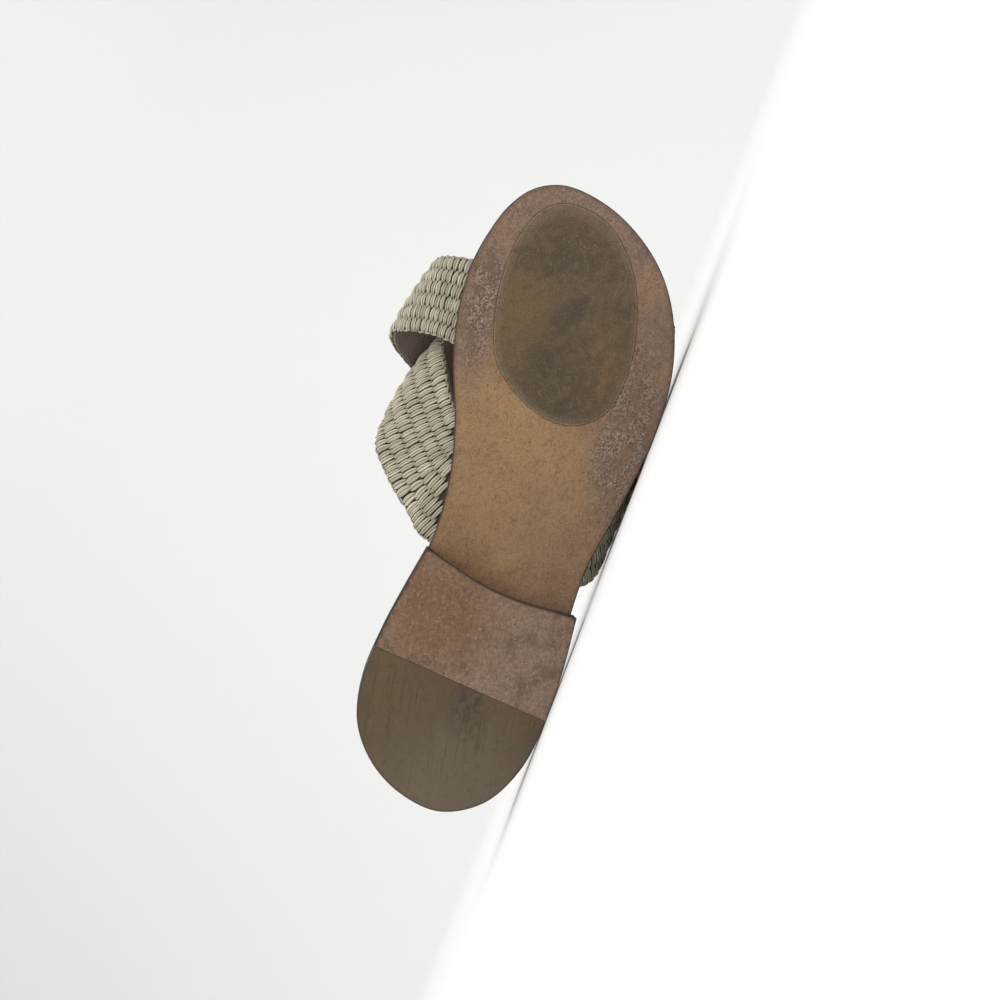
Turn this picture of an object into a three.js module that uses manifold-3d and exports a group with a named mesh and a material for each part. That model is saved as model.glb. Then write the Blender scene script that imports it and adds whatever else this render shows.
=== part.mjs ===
// A left slide sandal, EU size 38, lying on its lateral side as if set down after a look at its sole.
// Two woven raffia bands cross over the foot and are lasted between a leather outsole and a footbed.
// Units are millimetres. The shoe is drawn standing, then turned onto its side about the floor.
//
// In the tables, fromToe is measured from the toe tip back to the heel, medial is measured across
// from the line toe tip to heel centre (the big-toe side is positive), and heights from the floor
// that the shoe would stand on. In the drawing frame x runs forward, y to the lateral side, z up.
import * as THREE from "three";
import { mergeVertices } from "three/addons/utils/BufferGeometryUtils.js";
import Module from "manifold-3d";

const wasm = await Module();
wasm.setup();

// Driving sizes
const LENGTH = 252;
const GAP = 0.3;
const OUTSOLE_THICKNESS = 4;
const OUTSOLE_CHAMFER = 0.7;
const HEEL_LIFT = 11;
const TOP_PIECE_THICKNESS = 5;
const PATCH_PROUD = 0.4;
const PATCH_DEPTH = 1.6;
const FOOTBED_THICKNESS = 4.6;
const FOOTBED_INSET = 1.6;
const FOOTBED_CHAMFER = 1.2;

// Bands: wall of lining and weave, six ribs, and the ends that are lasted under the footbed
const WALL = 2.5;
const RIBS = 6;
const RIB_HEIGHT = 0.9;
const RIB_STEPS = 3;
const LASTED_LENGTH = 12;
const LASTED_WALL = 2.6;
const RIB_ROUNDNESS = 0.7;
const OPENING = 0.05;
const SETTLING = 0.12;
const CROSSING_SINK = 0.9;
const RING_COUNT = 36;
const POCKET_CLEARANCE = 0.7;
const POCKET_REACH = 2.5;
const POCKET_WAYS = [-1.06, -0.5, 0, 1 / RING_COUNT, 2 / RING_COUNT, 3 / RING_COUNT];
const POCKET_SHARES = [-0.05, 0, 1 / 6, 1 / 3, 1 / 2, 2 / 3, 5 / 6, 1, 1.05];

// Outline of the outsole, once round from the toe tip by the medial side and the heel
const OUTSOLE_OUTLINE = [
  { fromToe: -0.6, medial: -5 },
  { fromToe: 2.6, medial: 7 },
  { fromToe: 10.5, medial: 15.5 },
  { fromToe: 22.7, medial: 22.2 },
  { fromToe: 37, medial: 27 },
  { fromToe: 54, medial: 28.9 },
  { fromToe: 74, medial: 27.8 },
  { fromToe: 98, medial: 23 },
  { fromToe: 121, medial: 21 },
  { fromToe: 146, medial: 23.3 },
  { fromToe: 166, medial: 30 },
  { fromToe: 186, medial: 37 },
  { fromToe: 205, medial: 41.1 },
  { fromToe: 222, medial: 40 },
  { fromToe: 236, medial: 32.4 },
  { fromToe: 246.8, medial: 19.5 },
  { fromToe: 251.7, medial: 3 },
  { fromToe: 246, medial: -13.2 },
  { fromToe: 232, medial: -25 },
  { fromToe: 214, medial: -31.6 },
  { fromToe: 190, medial: -35.4 },
  { fromToe: 166, medial: -37.4 },
  { fromToe: 147, medial: -40.6 },
  { fromToe: 128, medial: -46.5 },
  { fromToe: 108, medial: -52.2 },
  { fromToe: 86, medial: -57.2 },
  { fromToe: 64, medial: -58.9 },
  { fromToe: 44, medial: -55.6 },
  { fromToe: 27, medial: -48 },
  { fromToe: 14, medial: -36.8 },
  { fromToe: 4, medial: -22 },
];

// Underside of the outsole: toe spring, tread at the ball, waist, heel seat
const UNDERSIDE = [
  { fromToe: -1, height: 5.2 },
  { fromToe: 12, height: 3.1 },
  { fromToe: 26, height: 1.4 },
  { fromToe: 42, height: PATCH_PROUD },
  { fromToe: 94, height: PATCH_PROUD },
  { fromToe: 108, height: 2 },
  { fromToe: 124, height: 6 },
  { fromToe: 138, height: 9.6 },
  { fromToe: 148, height: HEEL_LIFT + GAP },
  { fromToe: 253, height: HEEL_LIFT + GAP },
];

// Egg-shaped rubber patch under the ball
const PATCH_OUTLINE = [
  { fromToe: 6.4, medial: -8 },
  { fromToe: 9.6, medial: 1.5 },
  { fromToe: 21, medial: 9.6 },
  { fromToe: 38, medial: 14 },
  { fromToe: 56, medial: 14.4 },
  { fromToe: 72, medial: 11 },
  { fromToe: 84, medial: 0.5 },
  { fromToe: 91.5, medial: -13 },
  { fromToe: 91.6, medial: -25.5 },
  { fromToe: 84, medial: -36 },
  { fromToe: 68, medial: -41.2 },
  { fromToe: 48, medial: -41.2 },
  { fromToe: 28, medial: -36 },
  { fromToe: 12, medial: -24.2 },
];

// Tread of the heel from its medial breast corner round the back to the lateral one
const HEEL_OUTLINE = [
  { fromToe: 149.4, medial: 25.1 },
  { fromToe: 166, medial: 31.2 },
  { fromToe: 184, medial: 37.2 },
  { fromToe: 204, medial: 41.8 },
  { fromToe: 221, medial: 41.2 },
  { fromToe: 236, medial: 33.4 },
  { fromToe: 247, medial: 20.3 },
  { fromToe: 252.3, medial: 3 },
  { fromToe: 246.4, medial: -14 },
  { fromToe: 232, medial: -25.8 },
  { fromToe: 213, medial: -32.4 },
  { fromToe: 190, medial: -36.2 },
  { fromToe: 167.4, medial: -38.1 },
];
const BREAST = [
  { fromToe: 166.4, medial: -28 },
  { fromToe: 164.6, medial: -14 },
  { fromToe: 160.6, medial: 1 },
  { fromToe: 155, medial: 14 },
];
const TOP_PIECE_LINE = {
  medial: { fromToe: 189.6, medial: 44 },
  lateral: { fromToe: 210.8, medial: -36 },
};

// The bands, from the medial seam over the foot to the lateral seam. Each row holds a point
// (fromToe, medial, height) of the front and the rear selvage on the outside of the weave, and how
// far the middle of the band bows out between them. The first and last rows lie in the seams,
// so their heights follow from the outsole.
const OVER_BAND = [
  bandRow([34.5, 25.2], [68.3, 27.2], 0),
  bandRow([34.2, 31.4, 8.4], [66.3, 35.2, 8.6], 0.3),
  bandRow([34.1, 36.8, 12.4], [65.6, 42.2, 12.6], 0.6),
  bandRow([34.4, 40.2, 17.6], [65.8, 49, 17.2], 1),
  bandRow([35.6, 40.4, 24], [66.8, 54.4, 24], 1.4),
  bandRow([38.8, 38.4, 30.4], [71.4, 52.8, 31.4], 1.4),
  bandRow([43.2, 33.6, 36.6], [77, 46.4, 39.6], 1.2),
  bandRow([49.2, 24.6, 43.4], [85, 34, 49.6], 1),
  bandRow([56, 11.8, 50.2], [95, 18, 56.8], 1),
  bandRow([63.8, -4.2, 54.4], [104.9, 0.1, 61], 1),
  bandRow([70.6, -20, 55.8], [112.8, -17.6, 61.4], 1),
  bandRow([77, -38, 52], [120.7, -36, 57.2], 1),
  bandRow([82.6, -50.5, 44.4], [129.6, -47.4, 48], 1),
  bandRow([87.6, -57.2, 31], [138, -50.4, 36.5], 0.6),
  bandRow([93.4, -57.9, 21.6], [146.6, -48.9, 27.6], 0.4),
  bandRow([100.6, -56.4, 13.4], [153.4, -45.6, 21.4], 0.2),
  bandRow([109.4, -49], [158.4, -35.6], 0),
];
const UNDER_BAND = [
  bandRow([96.6, 22], [148.6, 22.9], 0),
  bandRow([91.6, 25.4, 7.4], [145.6, 29.4, 18.4], 0.6),
  bandRow([85.4, 28.2, 10.6], [138, 35.6, 23.6], 1.4),
  bandRow([78.4, 30.4, 14.6], [129.6, 43, 29.4], 2.2),
  bandRow([72.4, 32.2, 18.4], [121.6, 48.6, 33.8], 2.8),
  bandRow([67, 33.6, 23.6], [115, 52.4, 38.6], 3),
  bandRow([63.4, 33.2, 29.4], [109, 52.3, 43], 2.8),
  bandRow([60.4, 29.6, 35], [103.8, 46, 47.4], 2.2),
  bandRow([57.6, 22, 40.6], [98.8, 34, 51.4], 1.4),
  bandRow([55.2, 9.6, 46], [94.2, 16.4, 54.6], 1),
  bandRow([53.3, -5, 49.5], [90.4, -3.2, 56], 1),
  bandRow([51.2, -24, 48.8], [87, -23, 54.6], 1),
  bandRow([49.3, -42.1, 42.8], [84, -41.2, 48.7], 1),
  bandRow([47.2, -54, 33], [81.4, -54.4, 38.6], 0.8),
  bandRow([45.8, -59.6, 22.6], [79.8, -60, 27], 0.6),
  bandRow([45.2, -59, 13], [78.8, -60.6, 17], 0.3),
  bandRow([45, -53], [77.6, -56], 0),
];

// First guess (radians) of how the shoe lies on its side, and the steps that settle it on the floor
const FIRST_SWING = -0.18;
const FIRST_LEAN = 0.15;
const REST_STEPS = 40;

function bandRow(front, rear, bow) {
  return { front, rear, bow };
}

// Smooth, never overshooting value of a column of a table at a station
function lookUp(rows, key, column, at) {
  const last = rows.length - 1;
  let i = 0;
  while (i < last - 1 && at > rows[i + 1][key]) i += 1;
  const slopeOf = (a) => (rows[a + 1][column] - rows[a][column]) / (rows[a + 1][key] - rows[a][key]);
  const tangentOf = (a) => {
    if (a === 0) return slopeOf(0);
    if (a === last) return slopeOf(last - 1);
    const before = slopeOf(a - 1);
    const after = slopeOf(a);
    return before * after <= 0 ? 0 : (2 * before * after) / (before + after);
  };
  const span = rows[i + 1][key] - rows[i][key];
  const t = THREE.MathUtils.clamp((at - rows[i][key]) / span, 0, 1);
  const rise = t * t * (3 - 2 * t);
  const bend = t * (1 - t);
  return (
    rows[i][column] * (1 - rise) +
    rows[i + 1][column] * rise +
    span * bend * ((1 - t) * tangentOf(i) - t * tangentOf(i + 1))
  );
}

function toDrawing(fromToe, medial, height) {
  return new THREE.Vector3(LENGTH - fromToe, -medial, height);
}

// Closed outline through the rows of a table, as points (fromToe, medial)
function closedOutline(rows, inset = 0) {
  const knots = rows.map((row) => new THREE.Vector3(row.fromToe, row.medial, 0));
  const curve = new THREE.CatmullRomCurve3(knots, true, "centripetal");
  const count = 360;
  const points = [];
  for (let i = 0; i < count; i += 1) {
    const at = curve.getPointAt(i / count);
    const along = curve.getTangentAt(i / count);
    points.push(new THREE.Vector2(at.x + along.y * inset, at.y - along.x * inset));
  }
  return points;
}

// Where a station line crosses an outline: its medial and its lateral edge
function edgesAt(outline, fromToe) {
  let medial = -Infinity;
  let lateral = Infinity;
  outline.forEach((a, i) => {
    const b = outline[(i + 1) % outline.length];
    if ((a.x - fromToe) * (b.x - fromToe) > 0 || a.x === b.x) return;
    const across = a.y + ((b.y - a.y) * (fromToe - a.x)) / (b.x - a.x);
    medial = Math.max(medial, across);
    lateral = Math.min(lateral, across);
  });
  return { medial, lateral };
}

// One closed skin over rings of points that all have the same count
function skinRings(rings) {
  const size = rings[0].length;
  const positions = rings.flatMap((ring) => ring.flatMap((p) => p.toArray()));
  const index = [];
  for (let i = 0; i + 1 < rings.length; i += 1) {
    for (let j = 0; j < size; j += 1) {
      const a = i * size + j;
      const b = i * size + ((j + 1) % size);
      index.push(a, b, a + size, b, b + size, a + size);
    }
  }
  const caps = [
    { start: 0, flip: true },
    { start: (rings.length - 1) * size, flip: false },
  ];
  for (const { start, flip } of caps) {
    for (let j = 0; j + 1 < size / 2; j += 1) {
      const a = start + j;
      const b = start + j + 1;
      const c = start + size - 1 - j;
      const d = start + size - 2 - j;
      const quad = d === b ? [[a, b, c]] : [[a, b, c], [b, d, c]];
      for (const [p, q, r] of quad) index.push(...(flip ? [p, r, q] : [p, q, r]));
    }
  }
  const geometry = new THREE.BufferGeometry();
  geometry.setAttribute("position", new THREE.Float32BufferAttribute(positions, 3));
  geometry.setIndex(index);
  return geometry;
}

// Solid with its faces pointing out, from a closed geometry
function toSolid(geometry) {
  const bare = geometry.index ? geometry.toNonIndexed() : geometry.clone();
  bare.deleteAttribute("normal");
  bare.deleteAttribute("uv");
  const merged = mergeVertices(bare, 1e-4);
  const vertProperties = merged.attributes.position.array;
  const triVerts = new Uint32Array(merged.index.array);
  const solid = new wasm.Manifold(new wasm.Mesh({ numProp: 3, vertProperties, triVerts }));
  if (solid.volume() > 0) return solid;
  for (let i = 0; i < triVerts.length; i += 3) triVerts.subarray(i, i + 3).reverse();
  return new wasm.Manifold(new wasm.Mesh({ numProp: 3, vertProperties, triVerts }));
}

function toGeometry(solid) {
  const mesh = solid.getMesh();
  const geometry = new THREE.BufferGeometry();
  geometry.setAttribute("position", new THREE.BufferAttribute(new Float32Array(mesh.vertProperties), 3));
  geometry.setIndex(new THREE.BufferAttribute(new Uint32Array(mesh.triVerts), 1));
  return geometry;
}

// The main body of a solid, without slivers that a cut has parted from it
function largestBody(solid) {
  return solid.decompose().reduce((best, body) => (body.volume() > best.volume() ? body : best));
}

// Stations along a plate, close together where its ends turn
function stationsAlong(first, last, count) {
  const stations = [];
  for (let i = 0; i <= count; i += 1) {
    const ease = (1 - Math.cos((Math.PI * i) / count)) / 2;
    stations.push(first + (last - first) * (0.9 * ease + (0.1 * i) / count));
  }
  return stations;
}

// A plate between two height profiles inside an outline, its edges broken by a chamfer
function plate({ outline, bottom, top, chamfer, count }) {
  const reach = outline.map((p) => p.x);
  const first = Math.min(...reach) + 0.05;
  const last = Math.max(...reach) - 0.05;
  const rings = stationsAlong(first, last, count).map((fromToe) => {
    const { medial, lateral } = edgesAt(outline, fromToe);
    const low = bottom(fromToe);
    const high = top(fromToe);
    const cut = Math.min(chamfer, (medial - lateral) / 6);
    return [
      toDrawing(fromToe, medial - cut, low),
      toDrawing(fromToe, medial, low + cut),
      toDrawing(fromToe, medial, high - cut),
      toDrawing(fromToe, medial - cut, high),
      toDrawing(fromToe, lateral + cut, high),
      toDrawing(fromToe, lateral, high - cut),
      toDrawing(fromToe, lateral, low + cut),
      toDrawing(fromToe, lateral + cut, low),
    ];
  });
  return toSolid(skinRings(rings));
}

// An upright block over a flat outline, standing from one height to another
function block(points, low, high) {
  const shape = new THREE.Shape(points.map((p) => new THREE.Vector2(LENGTH - p.x, -p.y)));
  const geometry = new THREE.ExtrudeGeometry(shape, { depth: high - low, bevelEnabled: false });
  geometry.translate(0, 0, low);
  return toSolid(geometry);
}

const underside = (fromToe) => lookUp(UNDERSIDE, "fromToe", "height", fromToe);
const outsoleTop = (fromToe) => underside(fromToe) + OUTSOLE_THICKNESS;
const soleOutline = closedOutline(OUTSOLE_OUTLINE);

function makePatch(grow) {
  return plate({
    outline: closedOutline(PATCH_OUTLINE, -grow),
    bottom: (fromToe) => underside(fromToe) - PATCH_PROUD - grow,
    top: (fromToe) => underside(fromToe) + PATCH_DEPTH + grow,
    chamfer: 0.3,
    count: 34,
  });
}

function makeOutsole() {
  const leather = plate({
    outline: soleOutline,
    bottom: underside,
    top: outsoleTop,
    chamfer: OUTSOLE_CHAMFER,
    count: 64,
  });
  return leather.subtract(makePatch(GAP));
}

// Heel outline with its breast closed by the curved front line
function heelPlan() {
  const back = new THREE.SplineCurve(HEEL_OUTLINE.map((row) => new THREE.Vector2(row.fromToe, row.medial)));
  const corners = [HEEL_OUTLINE[HEEL_OUTLINE.length - 1], ...BREAST, HEEL_OUTLINE[0]];
  const breast = new THREE.SplineCurve(corners.map((row) => new THREE.Vector2(row.fromToe, row.medial)));
  return [...back.getPoints(54), ...breast.getPoints(14).slice(1, -1)];
}

// Everything behind the line where the rubber tread piece begins, shifted back by a margin
function behindTopPieceLine(margin) {
  const { medial, lateral } = TOP_PIECE_LINE;
  return [
    new THREE.Vector2(medial.fromToe + margin, medial.medial),
    new THREE.Vector2(LENGTH + 8, medial.medial),
    new THREE.Vector2(LENGTH + 8, lateral.medial),
    new THREE.Vector2(lateral.fromToe + margin, lateral.medial),
  ];
}

function makeHeelBlock() {
  const whole = block(heelPlan(), 0, HEEL_LIFT);
  return whole.subtract(block(behindTopPieceLine(0), -1, TOP_PIECE_THICKNESS + GAP));
}

function makeTopPiece() {
  const whole = block(heelPlan(), 0, TOP_PIECE_THICKNESS);
  return whole.intersect(block(behindTopPieceLine(GAP), -1, TOP_PIECE_THICKNESS + 1));
}

// A band as a surface: its two selvages and its middle as curves over the foot
function makeRails(rows) {
  const place = ([fromToe, medial, height]) => {
    return toDrawing(fromToe, medial, height ?? outsoleTop(fromToe) + GAP);
  };
  const curve = (points) => new THREE.CatmullRomCurve3(points, false, "centripetal");
  const front = rows.map((row) => place(row.front));
  const rear = rows.map((row) => place(row.rear));
  const middle = front.map((point, i) => point.clone().lerp(rear[i], 0.5));
  return { rows, front: curve(front), rear: curve(rear), middle: curve(middle) };
}

// Point on the straight line between the selvages. The way runs from 0 at the medial seam to 1 at
// the lateral seam, and beyond them the band lies flat between outsole and footbed. Near a seam
// the band settles onto the outsole, which isn't straight between the selvages.
function ruledPoint(rails, way, share) {
  const inside = THREE.MathUtils.clamp(way, 0, 1);
  const at = rails.middle.getUtoTmapping(inside);
  const point = rails.front.getPoint(at).lerp(rails.rear.getPoint(at), share);
  const seam = way < 0.5 ? 0 : 1;
  const foot = rails.front.getPoint(seam).lerp(rails.rear.getPoint(seam), share);
  const settle = 1 - THREE.MathUtils.smoothstep(Math.abs(inside - seam), 0, SETTLING);
  point.z += (outsoleTop(LENGTH - foot.x) + GAP - foot.z) * settle;
  point.y -= (way - inside) * LASTED_LENGTH;
  return point;
}

// Direction out of the band, away from the foot
function bandNormal(rails, way, share) {
  const step = 0.004;
  const along = ruledPoint(rails, way + step, share).sub(ruledPoint(rails, way - step, share));
  const across = ruledPoint(rails, way, share + step * 5).sub(ruledPoint(rails, way, share - step * 5));
  return along.cross(across).normalize();
}

// How far the middle of the band bows out at a way along it
function bowAt(rails, way) {
  const inside = THREE.MathUtils.clamp(way, 0, 1);
  const at = rails.middle.getUtoTmapping(inside) * (rails.rows.length - 1);
  const i = Math.min(Math.floor(at), rails.rows.length - 2);
  return THREE.MathUtils.lerp(rails.rows[i].bow, rails.rows[i + 1].bow, at - i);
}

// Point of a band at a depth below the outside of its weave
function bandPoint(rails, way, share, depth) {
  const bow = bowAt(rails, way) * 4 * share * (1 - share);
  const out = bandNormal(rails, way, share).multiplyScalar(bow - depth);
  return ruledPoint(rails, way, share).add(out);
}

// How far a band is out of its two seams: 0 where it is lasted, 1 where it stands free
function openAt(way) {
  const { smoothstep } = THREE.MathUtils;
  return smoothstep(way, 0, OPENING) * (1 - smoothstep(way, 1 - OPENING, 1));
}

function wallAt(way) {
  return THREE.MathUtils.lerp(LASTED_WALL, WALL + RIB_HEIGHT, openAt(way));
}

// Depth of the over band's lining side below its weave, let into the under band where they cross
function sunkWallAt(way) {
  const { smoothstep } = THREE.MathUtils;
  return wallAt(way) + CROSSING_SINK * smoothstep(way, 0.32, 0.42) * (1 - smoothstep(way, 0.7, 0.76));
}

// A band: lining side flat, outer side raised in ribs that run along it
function makeBand(rails, depthAt) {
  const ways = [];
  for (let i = 0; i <= RING_COUNT; i += 1) ways.push(i / RING_COUNT);
  const rings = [-1, -0.5, ...ways, 1.5, 2].map((way) => {
    const outer = [];
    const inner = [];
    for (let i = 0; i <= RIBS * RIB_STEPS; i += 1) {
      const share = i / (RIBS * RIB_STEPS);
      const dip = 1 - Math.abs(Math.sin(Math.PI * share * RIBS)) ** RIB_ROUNDNESS;
      outer.push(bandPoint(rails, way, share, RIB_HEIGHT * openAt(way) * dip));
      inner.unshift(bandPoint(rails, way, share, depthAt(way)));
    }
    return [...outer, ...inner];
  });
  return toSolid(skinRings(rings));
}

// The room that one lasted end takes out of the underside of the footbed. Its roof spans the turn
// of the band at the seam.
function makePocket(rails, medialSide) {
  const toWay = (way) => (medialSide ? way : 1 - way);
  const skin = (way, depth) => POCKET_SHARES.map((share) => bandPoint(rails, toWay(way), share, depth));
  const roof = (way) => skin(way, wallAt(toWay(way)) + POCKET_CLEARANCE);
  const span = roof(POCKET_WAYS[1]).map((point, i) => point.lerp(roof(POCKET_WAYS[3])[i], 0.5));
  const rings = POCKET_WAYS.map((way) => {
    const inner = way === 0 ? span : roof(way);
    return [...skin(way, -POCKET_REACH), ...inner.reverse()];
  });
  return toSolid(skinRings(rings));
}

const overRails = makeRails(OVER_BAND);
const underRails = makeRails(UNDER_BAND);

function makeFootbed() {
  const whole = plate({
    outline: closedOutline(OUTSOLE_OUTLINE, FOOTBED_INSET),
    bottom: (fromToe) => outsoleTop(fromToe) + GAP,
    top: (fromToe) => outsoleTop(fromToe) + GAP + FOOTBED_THICKNESS,
    chamfer: FOOTBED_CHAMFER,
    count: 58,
  });
  const rails = [overRails, underRails];
  const pockets = rails.flatMap((band) => [makePocket(band, true), makePocket(band, false)]);
  return largestBody(pockets.reduce((rest, pocket) => rest.subtract(pocket), whole));
}

function leather(colour, roughness) {
  return new THREE.MeshStandardMaterial({ color: colour, roughness, metalness: 0 });
}

function makeMesh(name, solid, material) {
  const mesh = new THREE.Mesh(toGeometry(solid), material);
  mesh.name = name;
  return mesh;
}

const shoe = new THREE.Group();
shoe.add(makeMesh("outsole", makeOutsole(), leather(0x8f6c48, 0.62)));
shoe.add(makeMesh("forefoot_patch", makePatch(0), leather(0x625644, 0.75)));
shoe.add(makeMesh("heel_block", makeHeelBlock(), leather(0x7c6450, 0.8)));
shoe.add(makeMesh("heel_top_piece", makeTopPiece(), leather(0x5f5341, 0.75)));
shoe.add(makeMesh("footbed", makeFootbed(), leather(0x9a7650, 0.55)));
const bands = makeBand(overRails, sunkWallAt).add(makeBand(underRails, wallAt));
shoe.add(makeMesh("upper", bands, leather(0xb9b193, 0.9)));

// Lowest corner of one piece of the group as it is turned now
function lowestCorner(group, name) {
  const mesh = group.getObjectByName(name);
  const places = mesh.geometry.attributes.position;
  const point = new THREE.Vector3();
  const low = new THREE.Vector3(0, 0, Infinity);
  for (let i = 0; i < places.count; i += 1) {
    point.fromBufferAttribute(places, i).applyMatrix4(mesh.matrixWorld);
    if (point.z < low.z) low.copy(point);
  }
  return low;
}

// Lay the shoe on its lateral side: sole edge at ball and heel, and the upper, all on the floor.
// The turn about the upright (swing) and the tip about the floor line (lean) are found in steps.
function layOnSide(group) {
  const turned = new THREE.Group();
  turned.add(group);
  let swing = FIRST_SWING;
  let lean = FIRST_LEAN;
  for (let i = 0; i < REST_STEPS; i += 1) {
    group.rotation.set(0, 0, swing);
    turned.rotation.set(lean - Math.PI / 2, 0, 0);
    turned.updateMatrixWorld(true);
    const ball = lowestCorner(group, "outsole");
    const heel = lowestCorner(group, "heel_top_piece");
    const side = lowestCorner(group, "upper");
    swing -= Math.atan2(heel.z - ball.z, ball.x - heel.x) * 0.7;
    lean += Math.atan2(Math.min(ball.z, heel.z) - side.z, side.y - ball.y) * 0.7;
  }
  return turned;
}

const turned = layOnSide(shoe);
const slide = new THREE.Group();
slide.add(turned);
slide.updateMatrixWorld(true);
const box = new THREE.Box3().setFromObject(slide, true);
const middle = box.getCenter(new THREE.Vector3());
turned.position.set(-middle.x, -middle.y, -box.min.z);
slide.updateMatrixWorld(true);

export default slide;
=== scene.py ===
"""Left raffia slide lying on its lateral side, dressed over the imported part.

Sizes are in millimetres of the shoe's own plan: distance from the toe tip, distance to the
medial side of the line from toe tip to heel centre, and height above the tread plane. They are
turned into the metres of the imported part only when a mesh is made.
"""

import logging
import math
from collections.abc import Callable, Sequence
from dataclasses import dataclass, field
from enum import Enum
from functools import cached_property

import bmesh
import bpy
import numpy as np
from mathutils import Matrix, Vector
from mathutils.geometry import delaunay_2d_cdt


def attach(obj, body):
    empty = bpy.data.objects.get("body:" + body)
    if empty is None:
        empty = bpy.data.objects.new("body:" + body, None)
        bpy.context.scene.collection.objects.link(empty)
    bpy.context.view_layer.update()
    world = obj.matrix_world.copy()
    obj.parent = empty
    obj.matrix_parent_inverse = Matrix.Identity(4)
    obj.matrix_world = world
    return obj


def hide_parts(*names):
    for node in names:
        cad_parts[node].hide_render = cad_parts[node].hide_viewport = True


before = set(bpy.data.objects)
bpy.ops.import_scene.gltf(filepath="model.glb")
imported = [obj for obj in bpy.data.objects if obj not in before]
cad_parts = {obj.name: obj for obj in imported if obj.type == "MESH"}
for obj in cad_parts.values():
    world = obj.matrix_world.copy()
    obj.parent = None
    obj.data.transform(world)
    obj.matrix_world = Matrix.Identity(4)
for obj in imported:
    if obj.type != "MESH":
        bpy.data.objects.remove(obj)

LOG = logging.getLogger("raffia_slide")
LENGTH = 252.0
GAP = 0.3

Colour = tuple[float, float, float, float]
Point = Sequence[float]
Faces = list[list[int]]
Array = np.ndarray
Object = bpy.types.Object
Material = bpy.types.Material
Socket = bpy.types.NodeSocket
Value = Socket | float | Sequence[float]


def srgb(red: float, green: float, blue: float) -> Colour:
    """Turn a screen colour into a shader colour.

    Args:
        red: Red from 0 to 255.
        green: Green from 0 to 255.
        blue: Blue from 0 to 255.

    Returns:
        Linear red, green, blue and an alpha of one.
    """

    def linear(value: float) -> float:
        """Return one channel in linear light."""
        part = value / 255
        return part / 12.92 if part <= 0.04045 else ((part + 0.055) / 1.055) ** 2.4

    return linear(red), linear(green), linear(blue), 1.0


def smooth(low: float, high: float, at: Array) -> Array:
    """Return values that rise smoothly from 0 at low to 1 at high."""
    part = np.clip((at - low) / (high - low), 0, 1)
    return part * part * (3 - 2 * part)


def distances(line: Array) -> Array:
    """Return how far along a line each of its points lies."""
    return np.concatenate([[0], np.cumsum(np.linalg.norm(np.diff(line, axis=0), axis=1))])


def unit(rows: Array) -> Array:
    """Return vectors brought to a length of one."""
    return rows / np.linalg.norm(rows, axis=-1, keepdims=True)


def spline(knots: Array, at: Array, closed: bool = False) -> Array:
    """Follow a centripetal Catmull-Rom curve through knots.

    Args:
        knots: Points of the curve, one a row.
        at: Places along the curve, from 0 to 1, evenly shared among the knots.
        closed: Whether the curve returns to its first knot.

    Returns:
        One point for each place.
    """
    spans = len(knots) if closed else len(knots) - 1
    if closed:
        padded = np.vstack([knots[-1:], knots, knots[:2]])
    else:
        padded = np.vstack([2 * knots[:1] - knots[1:2], knots, 2 * knots[-1:] - knots[-2:-1]])
    place = np.clip(at, 0, 1) * spans
    index = np.minimum(place.astype(int), spans - 1)
    part = (place - index)[..., None]
    before, start, end, after = (padded[index + step] for step in range(4))

    def root(first: Array, second: Array) -> Array:
        """Return the square root of the distance between two rows of points."""
        return np.sqrt(np.maximum(np.linalg.norm(second - first, axis=-1, keepdims=True), 1e-6))

    first, middle, last = root(before, start), root(start, end), root(end, after)
    leave = (start - before) / first - (end - before) / (first + middle) + (end - start) / middle
    arrive = (end - start) / middle - (after - start) / (middle + last) + (after - end) / last
    cube, square = part**3, part**2
    return (
        start * (2 * cube - 3 * square + 1)
        + end * (3 * square - 2 * cube)
        + leave * middle * (cube - 2 * square + part)
        + arrive * middle * (cube - square)
    )


def tube(rings: int, size: int, start: int = 0, ends: bool = True) -> Faces:
    """Join rings of points into a tube.

    Args:
        rings: Number of rings.
        size: Number of points in each.
        start: Number of the first point.
        ends: Whether a face closes each end.

    Returns:
        Faces over the points.
    """
    last = start + (rings - 1) * size
    faces = [
        [low + i, low + (i + 1) % size, low + size + (i + 1) % size, low + size + i]
        for low in range(start, last, size)
        for i in range(size)
    ]
    if ends:
        faces += [list(range(start, start + size))[::-1], list(range(last, last + size))]
    return faces


@dataclass(frozen=True)
class Profile:
    """A height that changes along the shoe, smooth and never overshooting.

    Attributes:
        rows: Pairs of distance from the toe and height.
    """

    rows: tuple[tuple[float, float], ...]

    def __call__(self, from_toe: Array) -> Array:
        """Look the height up.

        Args:
            from_toe: Distances from the toe.

        Returns:
            The height at each distance.
        """
        places, heights = np.array(self.rows).T
        slopes = np.diff(heights) / np.diff(places)
        inner = slopes[:-1] * slopes[1:]
        total = np.where(inner > 0, slopes[:-1] + slopes[1:], 1)
        turns = np.where(inner > 0, 2 * inner / total, 0)
        tangents = np.concatenate([slopes[:1], turns, slopes[-1:]])
        index = np.clip(np.searchsorted(places, from_toe, side="left") - 1, 0, len(slopes) - 1)
        span = places[index + 1] - places[index]
        part = np.clip((from_toe - places[index]) / span, 0, 1)
        rise = part * part * (3 - 2 * part)
        sway = (1 - part) * tangents[index] - part * tangents[index + 1]
        bend = part * (1 - part) * span * sway
        return heights[index] * (1 - rise) + heights[index + 1] * rise + bend


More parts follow.
